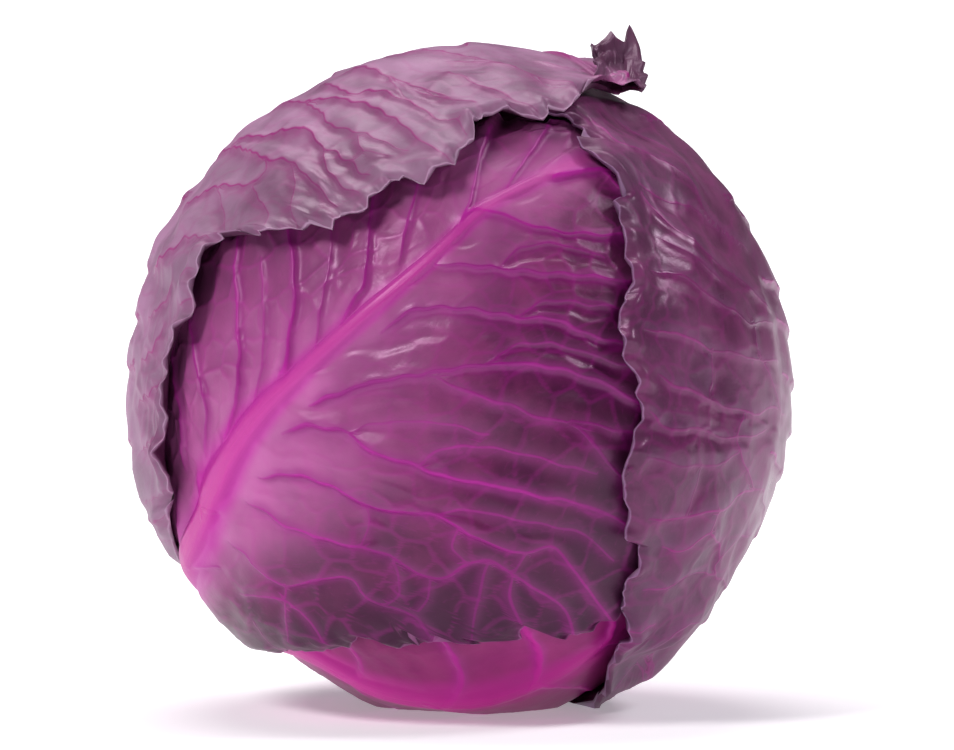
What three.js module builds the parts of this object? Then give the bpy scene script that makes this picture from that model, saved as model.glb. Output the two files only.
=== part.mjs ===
// A red cabbage head, lying on a small flat spot, in millimetres with +Z up.
//
// The head is a dense heart of folded leaves on a cut stalk, wrapped by five loose outer leaves.
// Each outer leaf is drawn as a net of points on the head: rows run along its side veins, from the
// stalk end to the tip, and the middle column is its midrib. The leaves are laid one over another,
// and each rests just clear of everything laid before it.

import * as THREE from 'three';

// Sizes of the whole head
const HEAD_HEIGHT = 80.5; // from the table to the middle of the head
const HEAD_RADIUS = 80; // the ball that the nets are drawn on
const HEAD_LEAN = THREE.MathUtils.degToRad(5); // the head is rolled back a little
const HEART_RADII = new THREE.Vector3(73.5, 74, 77.5);
const HEART_DROP = 1.5; // the heart hangs this much below the middle of the head
const HEART_FLOOR = 2.2; // lowest point of the heart above the table
const HEART_SHEETS = 3; // folded leaves whose edges spiral round the heart
const HEART_STEP = 1.2;

// Sizes of the leaves
const BLADE = 1.0; // thickness between the veins
const GAP = 0.5; // air between two leaves that lie on each other
const BASE_REACH = 13.5; // from the stalk's axis to where the leaves begin
const RIB_WIDTH_BASE = 6.5; // half width of a midrib at the stalk
const RIB_WIDTH_TIP = 1.6;

// Sizes of the stalk
const STALK_RADIUS = 11.5;
const STALK_LENGTH = 10;

const MIDDLE = new THREE.Vector3(0, 0, HEAD_HEIGHT);
const AXIS_X = new THREE.Vector3(1, 0, 0);

// Points on the head as seen from the front: x to the right, z up, on the near or the far side.
// The fourth number is how far from the middle of the head the leaf is to lie there.
function seen(x, z, side, radius) {
  const depth = Math.sqrt(Math.max(0, Math.max(radius, HEAD_RADIUS) ** 2 - x * x - z * z));
  const direction = new THREE.Vector3(x, side * depth, z).normalize().applyAxisAngle(AXIS_X, -HEAD_LEAN);
  return new THREE.Vector4(direction.x, direction.y, direction.z, radius);
}

const near = (x, z, radius = 0) => seen(x, z, -1, radius);
const far = (x, z, radius = 0) => seen(x, z, 1, radius);

const STALK = far(-48, -46);
const STALK_AXIS = new THREE.Vector3(STALK.x, STALK.y, STALK.z);

const LEAVES = [
  {
    name: 'leaf_under',
    color: 0xb02a8e,
    radius: 77,
    veins: 1.4,
    rib: 2.6,
    ruffle: 0.5,
    cuts: 2,
    onTable: true,
    rows: [
      [near(-66, -45), near(-60, -52), far(-53, -58), far(-46, -63), far(-38, -65)],
      [near(-54, -47), near(-50, -57), near(-42, -66.5), far(-33, -72), far(-24, -68)],
      [near(-38, -46), near(-33, -60), near(-20, -74.5, 82.5), far(-10, -79.5, 82.5), far(-2, -70, 80)],
      [near(-18, -44), near(-10, -59), near(5, -76, 83.5), far(12, -79.5, 82.5), far(18, -70, 80)],
      [near(4, -42), near(12, -57), near(26, -70), far(32, -72, 80), far(36, -66)],
      [near(24, -38), near(32, -50), near(42, -59), near(48, -64), far(50, -58)],
      [near(38, -32), near(46, -42), near(53, -50), near(57, -55), near(60, -52)],
    ],
  },
  {
    name: 'leaf_back',
    color: 0x7c4568,
    radius: 77,
    veins: 1.8,
    rib: 2.4,
    ruffle: 0.8,
    cuts: 3,
    rows: [
      [far(-24, -54), far(-28, -44), far(-32, -36), far(-40, -30), far(-50, -26)],
      [far(-2, -48), far(-8, -32), far(-14, -18), far(-30, -10), far(-50, -6)],
      [far(22, -42), far(14, -20), far(4, -2), far(-18, 8), far(-44, 14)],
      [far(40, -30), far(32, -6), far(20, 14), far(-4, 26), far(-32, 34)],
      [far(52, -12), far(44, 12), far(34, 30), far(12, 42), far(-14, 50)],
      [far(56, 8), far(50, 28), far(42, 44), far(26, 54), far(6, 62)],
      [far(54, 28), far(51, 38), far(46, 47), far(38, 55), far(28, 62)],
    ],
  },
  {
    name: 'leaf_front',
    color: 0x8f3f80,
    radius: 77,
    veins: 2.3,
    rib: 3.2,
    ruffle: 0.9,
    cuts: 3,
    rows: [
      [far(-77, 2), near(-75.5, -14), near(-67, -36), near(-51.5, -49), near(-37, -65)],
      [near(-77, 18), near(-73, -4), near(-63, -27), near(-29.5, -38), near(8, -62)],
      [near(-71.5, 32), near(-67, 4), near(-58, -17), near(-13, -31), near(35, -60)],
      [near(-58, 42.5), near(-57.5, 12.5), near(-51, -7), near(-4.5, -22), near(47, -39)],
      [near(-44, 50), near(-44, 21), near(-39, 5), near(8, 5), near(55, -10)],
      [near(-21, 60), near(-25, 34), near(-20, 22), near(17, 18), near(55, 7.5)],
      [near(-6, 66), near(-9.5, 45), near(-7.5, 33), near(21, 29.5), near(53, 22.5)],
      [near(8, 70), near(3, 55), near(5, 44.5), near(27, 39), near(49, 36)],
      [near(19, 68), near(23, 62.5), near(29, 56), near(37, 52.5), near(44, 49)],
      [near(26, 71), near(32, 67), near(39, 62), near(45, 58), near(52, 52)],
    ],
  },
  {
    name: 'leaf_right',
    color: 0x7d4d6c,
    radius: 79,
    veins: 1.9,
    rib: 2.6,
    ruffle: 1.2,
    cuts: 4,
    rows: [
      [far(-36, -68), far(-34, -62), far(-31, -54), far(-32, -42), far(-33, -32)],
      [far(-14, -74), far(-12, -67), far(-10, -58), far(-14, -40), far(-18, -22)],
      [far(14, -75), far(14, -70), far(12, -60), far(10, -38), far(2, -14)],
      [near(36, -69), near(44, -66), far(33, -60), far(32, -34), far(18, -4)],
      [near(37.5, -59), near(59, -54), far(50, -56), far(48, -26), far(30, 6)],
      [near(39.5, -44), near(62.5, -43), far(63, -47), far(58, -16), far(38, 16)],
      [near(39.5, -31), near(66, -27.5), far(71.5, -34), far(63, -5), far(42, 25)],
      [near(41.5, -14), near(66, -13), far(76.5, -20), far(65, 6), far(44, 33)],
      [near(43, 0), near(67, -5), far(78.8, -8), far(65, 17), far(44, 40)],
      [near(39, 14), near(64, 8), far(79.1, 3), far(63, 27), far(43, 46)],
      [near(42, 28), near(63.5, 20), far(77.8, 15), far(60, 36), far(41, 52)],
      [near(38.5, 48), near(63, 30), far(74.2, 28), far(55, 45), far(39, 57)],
      [near(29, 66), near(55.5, 49.5), far(66, 42), far(49, 53), far(36, 62)],
      [near(26, 69), near(38, 67.5), far(50, 60), far(42, 64), far(33, 67)],
      [near(14, 72), near(22, 74), far(30, 73.5), far(28, 73), far(25, 71)],
    ],
  },
  {
    name: 'leaf_cap',
    color: 0xa9799c,
    radius: 82.3,
    veins: 1.9,
    rib: 2.6,
    ruffle: 1.8,
    cuts: 4,
    rows: [
      [far(-30, -36), far(-48, -32), far(-62, -30), far(-73, -30), near(-76, -32)],
      [far(-16, -14), far(-46, -13), far(-69, -13), near(-81, -12), near(-77, -17.5)],
      [far(-6, 6), far(-40, 6), far(-69, 6), near(-81, 4), near(-76.5, 0)],
      [far(0, 22), far(-36, 24), far(-66, 21), near(-79.5, 17), near(-70, 21)],
      [far(4, 36), far(-32, 38), far(-62, 35), near(-77.5, 29), near(-64, 37)],
      [far(8, 48), far(-26, 51), far(-56, 47), near(-69.5, 45), near(-49, 39)],
      [far(11, 56), far(-18, 61), far(-48, 58), near(-56, 59), near(-32.5, 43)],
      [far(14, 62), far(-10, 68), far(-38, 66), near(-42, 63), near(-23.5, 49)],
      [far(17, 66), far(-2, 73), far(-26, 72), near(-29, 71), near(-4, 55.5)],
      [far(20, 69), far(6, 75), far(-13, 77), near(-17, 76), near(4, 67.5)],
      [far(23, 71), far(14, 76), far(4, 79.5), near(0, 79), near(19, 68)],
      [near(42, 73, 85), near(38.5, 73, 84), near(35.5, 73, 84), near(32.5, 74, 83), near(30, 75, 83)],
      [near(43, 78, 89.5), near(41, 78, 89), near(37.5, 77.5, 87), near(34, 77, 86), near(31, 77.5, 85)],
      [near(41, 83, 93), near(38.8, 88, 96), near(37, 83, 91.5), near(33.8, 85, 92), near(30, 82, 88)],
    ],
  },
];

// The pile keeps how far the head reaches in every direction, in small square cells.
const PILE_CELL = 3;
const SHARES = [0, 0.25, 0.5, 0.75, 1]; // where a facet is looked at along each side
const pile = new Map();

function pileKey(i, j, k) {
  return (i * 512 + j) * 512 + k;
}

function addToPile(point) {
  const arm = point.clone().sub(MIDDLE);
  const radius = arm.length();
  const cell = arm.multiplyScalar(HEAD_RADIUS / radius / PILE_CELL).round();
  const key = pileKey(cell.x, cell.y, cell.z);
  pile.set(key, Math.max(pile.get(key) ?? 0, radius));
}

function topOfPile(direction) {
  const cell = direction.clone().multiplyScalar(HEAD_RADIUS / PILE_CELL).round();
  let top = 0;
  for (let i = -1; i <= 1; i += 1) {
    for (let j = -1; j <= 1; j += 1) {
      for (let k = -1; k <= 1; k += 1) {
        top = Math.max(top, pile.get(pileKey(cell.x + i, cell.y + j, cell.z + k)) ?? 0);
      }
    }
  }
  return top;
}

function addSheetToPile(sheet) {
  for (let i = 0; i < sheet.length - 1; i += 1) {
    for (let j = 0; j < sheet[i].length - 1; j += 1) {
      for (const s of SHARES) {
        const low = sheet[i][j].clone().lerp(sheet[i][j + 1], s);
        const high = sheet[i + 1][j].clone().lerp(sheet[i + 1][j + 1], s);
        SHARES.forEach((t) => addToPile(low.clone().lerp(high, t)));
      }
    }
  }
}

// A smooth curve through evenly numbered points, which may be looked up between them.
function curvePoint(points, at) {
  const last = points.length - 1;
  const k = Math.min(Math.max(Math.floor(at), 0), last - 1);
  const t = at - k;
  const before = points[k - 1] ?? points[k].clone().multiplyScalar(2).sub(points[k + 1]);
  const after = points[k + 2] ?? points[k + 1].clone().multiplyScalar(2).sub(points[k]);
  return new THREE.Vector4(0, 0, 0, 0)
    .addScaledVector(before, (-t + 2 * t ** 2 - t ** 3) / 2)
    .addScaledVector(points[k], (2 - 5 * t ** 2 + 3 * t ** 3) / 2)
    .addScaledVector(points[k + 1], (t + 4 * t ** 2 - 3 * t ** 3) / 2)
    .addScaledVector(after, (t ** 3 - t ** 2) / 2);
}

function leafPoint(columns, along, across) {
  const row = columns.map((column) => curvePoint(column, along));
  const point = curvePoint(row, (across + 1) * 2);
  const direction = new THREE.Vector3(point.x, point.y, point.z).normalize();
  return { direction, radius: point.w };
}

// Every leaf starts in a ring round the stalk, each point on the shortest way to its first row.
function baseRow(row) {
  return row.map((point) => {
    const target = new THREE.Vector3(point.x, point.y, point.z);
    const outward = target.addScaledVector(STALK_AXIS, -target.dot(STALK_AXIS)).normalize();
    const angle = BASE_REACH / HEAD_RADIUS;
    const start = STALK_AXIS.clone().multiplyScalar(Math.cos(angle));
    start.addScaledVector(outward, Math.sin(angle));
    return new THREE.Vector4(start.x, start.y, start.z, point.w);
  });
}

const fade = (from, to, value) => THREE.MathUtils.smoothstep(value, from, to);

// Side veins stand up as crests on the rows. Halfway between two of them a lower fork of the
// vein starts some way out, and the blade sinks in smooth valleys between the crests.
function veinHeight(leaf, along, across) {
  const fork = 0.55 * fade(0.3, 0.6, across) * Math.abs(Math.sin(Math.PI * along)) ** 6;
  const crest = 1 - Math.abs(Math.sin(Math.PI * along)) + fork;
  const last = leaf.rows.length;
  const ends = fade(0.4, 1.6, along) * (1 - fade(last - 1, last, along));
  return leaf.veins * crest * (1 - 0.6 * across) * ends;
}

// Edge cuts and ruffles come from a few waves that never quite repeat.
function edgeCut(leaf, along, side) {
  const wave = 0.5 + 0.3 * Math.sin(along * 5.3 + side) + 0.2 * Math.sin(along * 13.1 + 2 * side);
  return leaf.cuts * wave * fade(0.5, 1.5, along);
}

function edgeRuffle(leaf, along, side) {
  const wave = 0.55 + 0.3 * Math.sin(along * 6.9 + 2 * side) + 0.15 * Math.sin(along * 11.7 - side);
  return leaf.ruffle * wave * fade(0.5, 1.5, along);
}

function rowPlaces(count) {
  const places = [0, 0.5];
  for (let k = 1; k < count; k += 1) {
    places.push(k - 0.2, k, k + 0.2, k + 0.5);
  }
  return [...places.filter((place) => place < count - 0.3), count];
}

function columnPlaces(ribShare, edge) {
  const outer = [0.3, 0.5, 0.7, 0.86].map((share) => ribShare + (edge - ribShare) * share);
  return [0.55 * ribShare, ribShare, ...outer, edge];
}

// One leaf: a thin closed sheet with the veins raised on its outer face.
function layLeaf(leaf) {
  const rows = [baseRow(leaf.rows[0]), ...leaf.rows];
  rows.flat().forEach((point) => {
    point.w = Math.max(point.w, leaf.radius);
  });
  const columns = rows[0].map((_, j) => rows.map((row) => row[j]));
  const last = rows.length - 1;
  const grid = rowPlaces(last).map((along) => {
    const spine = leafPoint(columns, along, 0).direction;
    const taper = along / last;
    const ribWidth = THREE.MathUtils.lerp(RIB_WIDTH_BASE, RIB_WIDTH_TIP, taper);
    const ribRise = leaf.rib * (1 - 0.75 * taper) * fade(0, 0.6, along);
    const half = (side) => {
      const span = HEAD_RADIUS * spine.angleTo(leafPoint(columns, along, side).direction);
      const ribShare = Math.min(ribWidth / span, 0.35);
      const edge = 1 - Math.min(edgeCut(leaf, along, side) / span, 0.25);
      return columnPlaces(ribShare, edge).map((share) => {
        const { direction, radius } = leafPoint(columns, along, side * share);
        const ridge = ribRise * (1 - fade(0.3 * ribShare, ribShare, share));
        const ruffle = edgeRuffle(leaf, along, side) * fade(0.55, 1, share);
        const rise = Math.max(veinHeight(leaf, along, share), ridge);
        return { direction, radius, rise, ruffle };
      });
    };
    const centre = leafPoint(columns, along, 0);
    return [...half(-1).reverse(), { ...centre, rise: ribRise, ruffle: 0 }, ...half(1)];
  });
  restOnPile(grid);
  const inner = grid.map((row) => row.map((spot) => placed(spot, spot.lift, leaf.onTable ? BLADE : 0)));
  const outer = grid.map((row) => row.map((spot) => placed(spot, spot.lift + BLADE + spot.rise, 0)));
  addSheetToPile(outer);
  return sheetGeometry(outer, inner);
}

function placed(spot, radius, lowest) {
  const point = MIDDLE.clone().addScaledVector(spot.direction, radius);
  point.z = Math.max(point.z, lowest);
  return point;
}

// The sheet is lifted wherever any part of it would touch the pile, and evened out in between.
function restOnPile(grid) {
  const spots = grid.flat();
  spots.forEach((spot) => {
    spot.need = spot.radius;
    spot.lift = spot.radius;
  });
  for (let pass = 0; pass < 6; pass += 1) {
    evenOut(grid);
    for (let i = 0; i < grid.length - 1; i += 1) {
      for (let j = 0; j < grid[i].length - 1; j += 1) {
        const corners = [grid[i][j], grid[i][j + 1], grid[i + 1][j + 1], grid[i + 1][j]];
        const lack = lackOfRoom(corners.map((spot) => placed(spot, spot.lift, 0)));
        corners.forEach((spot) => {
          spot.need = Math.max(spot.need, spot.lift + lack);
        });
      }
    }
    spots.forEach((spot) => {
      spot.lift = Math.max(spot.lift, spot.need);
    });
  }
  spots.forEach((spot) => {
    spot.lift += spot.ruffle;
  });
}

function evenOut(grid) {
  const now = grid.map((row) => row.map((spot) => spot.lift));
  grid.forEach((row, i) => row.forEach((spot, j) => {
    const around = [now[i - 1]?.[j], now[i + 1]?.[j], now[i][j - 1], now[i][j + 1]];
    const known = around.filter((value) => value !== undefined);
    const mean = known.reduce((sum, value) => sum + value, 0) / known.length;
    spot.lift = Math.max(spot.need, (spot.lift + mean) / 2);
  }));
}

function lackOfRoom([a, b, c, d]) {
  let lack = 0;
  for (const s of SHARES) {
    for (const t of SHARES) {
      const arm = a.clone().lerp(b, s).lerp(d.clone().lerp(c, s), t).sub(MIDDLE);
      const radius = arm.length();
      lack = Math.max(lack, topOfPile(arm.divideScalar(radius)) + GAP - radius);
    }
  }
  return lack;
}

// Two like grids of points, joined round the rim into one closed body that faces outward.
function sheetGeometry(outer, inner) {
  const rowCount = outer.length;
  const columnCount = outer[0].length;
  const points = [...outer.flat(), ...inner.flat()];
  const under = rowCount * columnCount;
  const at = (i, j) => i * columnCount + j;
  const index = [];
  for (let i = 0; i < rowCount - 1; i += 1) {
    for (let j = 0; j < columnCount - 1; j += 1) {
      const [a, b, c, d] = [at(i, j), at(i, j + 1), at(i + 1, j + 1), at(i + 1, j)];
      index.push(a, b, c, a, c, d);
      index.push(under + a, under + c, under + b, under + a, under + d, under + c);
    }
  }
  const rim = [];
  for (let j = 0; j < columnCount - 1; j += 1) rim.push(at(0, j));
  for (let i = 0; i < rowCount - 1; i += 1) rim.push(at(i, columnCount - 1));
  for (let j = columnCount - 1; j > 0; j -= 1) rim.push(at(rowCount - 1, j));
  for (let i = rowCount - 1; i > 0; i -= 1) rim.push(at(i, 0));
  rim.forEach((a, k) => {
    const b = rim[(k + 1) % rim.length];
    index.push(b, a, under + a, b, under + a, under + b);
  });
  if (!looksOutward(points, index)) index.reverse();
  const geometry = new THREE.BufferGeometry().setFromPoints(points);
  geometry.setIndex(index);
  geometry.computeVertexNormals();
  return geometry;
}

function looksOutward(points, index) {
  let volume = 0;
  for (let k = 0; k < index.length; k += 3) {
    const [a, b, c] = [points[index[k]], points[index[k + 1]], points[index[k + 2]]];
    volume += a.dot(b.clone().cross(c));
  }
  return volume > 0;
}

// The heart: folded leaves whose edges spiral from the stalk to the crown.
function heartGeometry() {
  const rings = 20;
  const shares = [0, 0.18, 0.36, 0.54, 0.72, 0.86, 0.95];
  const side = new THREE.Vector3(0, 0, 1).cross(STALK_AXIS).normalize();
  const front = STALK_AXIS.clone().cross(side);
  const points = [];
  const heartPoint = (polar, turn, rise) => {
    const direction = STALK_AXIS.clone().multiplyScalar(Math.cos(polar))
      .addScaledVector(side, Math.sin(polar) * Math.cos(turn))
      .addScaledVector(front, Math.sin(polar) * Math.sin(turn));
    const reach = 1 / direction.clone().divide(HEART_RADII).length();
    const point = MIDDLE.clone().addScaledVector(direction, reach + rise);
    point.z = Math.max(point.z - HEART_DROP, HEART_FLOOR);
    return point;
  };
  points.push(heartPoint(0, 0, 0));
  for (let i = 1; i < rings; i += 1) {
    const polar = Math.PI * i / rings;
    for (let sheet = 0; sheet < HEART_SHEETS; sheet += 1) {
      for (const share of shares) {
        const turn = (sheet + share) / HEART_SHEETS * 2 * Math.PI + 0.9 * polar;
        points.push(heartPoint(polar, turn, HEART_STEP * (share - 1) * Math.sin(polar)));
      }
    }
  }
  points.push(heartPoint(Math.PI, 0, 0));
  const count = HEART_SHEETS * shares.length;
  const at = (i, j) => 1 + (i - 1) * count + j % count;
  const end = points.length - 1;
  const index = [];
  for (let j = 0; j < count; j += 1) {
    index.push(0, at(1, j), at(1, j + 1));
    index.push(end, at(rings - 1, j + 1), at(rings - 1, j));
    for (let i = 1; i < rings - 1; i += 1) {
      index.push(at(i, j), at(i + 1, j), at(i + 1, j + 1));
      index.push(at(i, j), at(i + 1, j + 1), at(i, j + 1));
    }
  }
  if (!looksOutward(points, index)) index.reverse();
  const geometry = new THREE.BufferGeometry().setFromPoints(points);
  geometry.setIndex(index);
  geometry.computeVertexNormals();
  for (let k = 0; k < index.length; k += 3) {
    const [a, b, c] = [points[index[k]], points[index[k + 1]], points[index[k + 2]]];
    for (let s = 0; s <= 4; s += 1) {
      for (let t = 0; t <= 4 - s; t += 1) {
        const point = a.clone().multiplyScalar(1 - (s + t) / 4).addScaledVector(b, s / 4);
        addToPile(point.addScaledVector(c, t / 4));
      }
    }
  }
  return geometry;
}

// The stalk: a short stump, cut flat, on the end of the heart.
function stalkMesh() {
  const profile = [
    [0, 0],
    [STALK_RADIUS, 0],
    [STALK_RADIUS, 0.5 * STALK_LENGTH],
    [0.93 * STALK_RADIUS, 0.9 * STALK_LENGTH],
    [0.85 * STALK_RADIUS, STALK_LENGTH],
    [0, STALK_LENGTH],
  ].map(([x, y]) => new THREE.Vector2(x, y));
  const stalk = namedMesh('stalk', new THREE.LatheGeometry(profile, 20), 0xd9c9c4, 0.7);
  stalk.quaternion.setFromUnitVectors(new THREE.Vector3(0, 1, 0), STALK_AXIS);
  stalk.position.copy(MIDDLE).addScaledVector(STALK_AXIS, topOfPile(STALK_AXIS) + GAP);
  return stalk;
}

function namedMesh(name, geometry, color, roughness) {
  const mesh = new THREE.Mesh(geometry, new THREE.MeshStandardMaterial({ color, roughness, metalness: 0 }));
  mesh.name = name;
  return mesh;
}

const cabbage = new THREE.Group();
cabbage.add(namedMesh('heart', heartGeometry(), 0x6d2f5c, 0.6));
cabbage.add(stalkMesh());
for (const leaf of LEAVES) {
  cabbage.add(namedMesh(leaf.name, layLeaf(leaf), leaf.color, 0.55));
}

export default cabbage;
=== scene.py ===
"""Dresses a red cabbage head: five waved outer leaves with ribs, veins and a waxy bloom, laid round
a dense heart on a cut stalk, on a plain pale floor.

Each outer leaf starts as a flat pattern. Its net, in millimetres on the head as seen from the front,
says where the pattern lies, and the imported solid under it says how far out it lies.
"""

import math
import random

import bpy
import numpy as np
from bpy.props import FloatProperty, PointerProperty
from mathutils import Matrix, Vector
from mathutils.bvhtree import BVHTree
from mathutils.kdtree import KDTree


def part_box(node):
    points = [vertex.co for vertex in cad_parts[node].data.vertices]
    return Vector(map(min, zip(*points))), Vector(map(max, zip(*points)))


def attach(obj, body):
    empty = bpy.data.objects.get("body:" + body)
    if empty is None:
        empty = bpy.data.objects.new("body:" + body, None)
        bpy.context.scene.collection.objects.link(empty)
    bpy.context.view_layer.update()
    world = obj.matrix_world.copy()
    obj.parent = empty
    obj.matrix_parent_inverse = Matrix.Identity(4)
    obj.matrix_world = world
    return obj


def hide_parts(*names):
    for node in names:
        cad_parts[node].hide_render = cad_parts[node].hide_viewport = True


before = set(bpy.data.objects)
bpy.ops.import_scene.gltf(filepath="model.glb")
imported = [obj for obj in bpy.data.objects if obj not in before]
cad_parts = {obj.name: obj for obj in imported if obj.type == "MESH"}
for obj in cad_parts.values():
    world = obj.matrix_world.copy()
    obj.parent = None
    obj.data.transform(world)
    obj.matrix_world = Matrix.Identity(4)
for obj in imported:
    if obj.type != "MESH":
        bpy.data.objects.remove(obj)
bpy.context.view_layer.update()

bl_info = {
    "name": "Red cabbage head",
    "version": (1, 0, 0),
    "blender": (4, 5, 0),
    "location": "3D View > Sidebar > Cabbage",
    "description": "Grows the leaves, heart and stalk of a red cabbage head on its packed solids",
    "category": "Object",
}

MM = 0.001

# The head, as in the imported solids: its middle's height, its radius, the reach of the leaf bases round
# the stalk and the half width of a midrib, in millimetres, and how far the view looks down on it
HEAD_HEIGHT = 80.5
HEAD_RADIUS = 80.0
VIEW_PITCH = math.radians(5)
BASE_REACH = 13.5
RIB_WIDTH_BASE = 6.5
RIB_WIDTH_TIP = 1.6
MIDDLE = np.array((0.0, 0.0, HEAD_HEIGHT))

# Radii in millimetres past which the cap leaf's tip curls off the head
OFF_HEAD = 84.5
CURL_START = 84.3
CURL_END = 86.0

# A flat leaf pattern, 2 across and 2 along: its thickness, how finely it is cut, and how many cuts its
# outer face gets after that
CELLS_ACROSS = 58
CELLS_ALONG = 88
OUTER_CUTS = 3
FINE_ACROSS = CELLS_ACROSS * (OUTER_CUTS + 1)
FINE_ALONG = CELLS_ALONG * (OUTER_CUTS + 1)
PATTERN_THICKNESS = 0.1

# How far above the floor the lowest places of the other leaves stay, in millimetres
FLOOR_GAP = 0.05

# Veins: the step between the points of a traced one, how near to it grown ones may come, and the
# spacing of the net and of the fine net, in millimetres, and the points of a grown one
VEIN_STEP = 0.25
VEIN_CLEARANCE = 9
GROWN_POINTS = 240
NET_SPACING = 8.5
FINE_NET_SPACING = 3.8

# Edges: the places where one is compared with the outline seen from the front, how far from the net's
# edge that outline may lie, how much its teeth are strengthened, and the length that sets the waves of
# the right edge apart from those of the left, in millimetres
EDGE_PLACES = 8 * CELLS_ALONG
OUTLINE_REACH = 8
TOOTH_BOOST = 0.4
RIGHT_EDGE_SHIFT = 400


def seen(x, z, side, radius):
    """The direction from the head's middle to a point at this radius, seen at x and z from the front."""
    depth = math.sqrt(max(0.0, radius**2 - x * x - z * z))
    point = np.array((x, side * depth, z))
    x, y, z = point / np.linalg.norm(point)
    cos, sin = math.cos(VIEW_PITCH), math.sin(VIEW_PITCH)
    return np.array((x, y * cos + z * sin, z * cos - y * sin))


def near(x, z, radius=0.0):
    """A net point on the side of the head that faces the camera."""
    return x, z, -1, radius


def far(x, z, radius=0.0):
    """A net point on the side of the head that faces away."""
    return x, z, 1, radius


STALK = seen(-48, -46, 1, HEAD_RADIUS)

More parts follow.
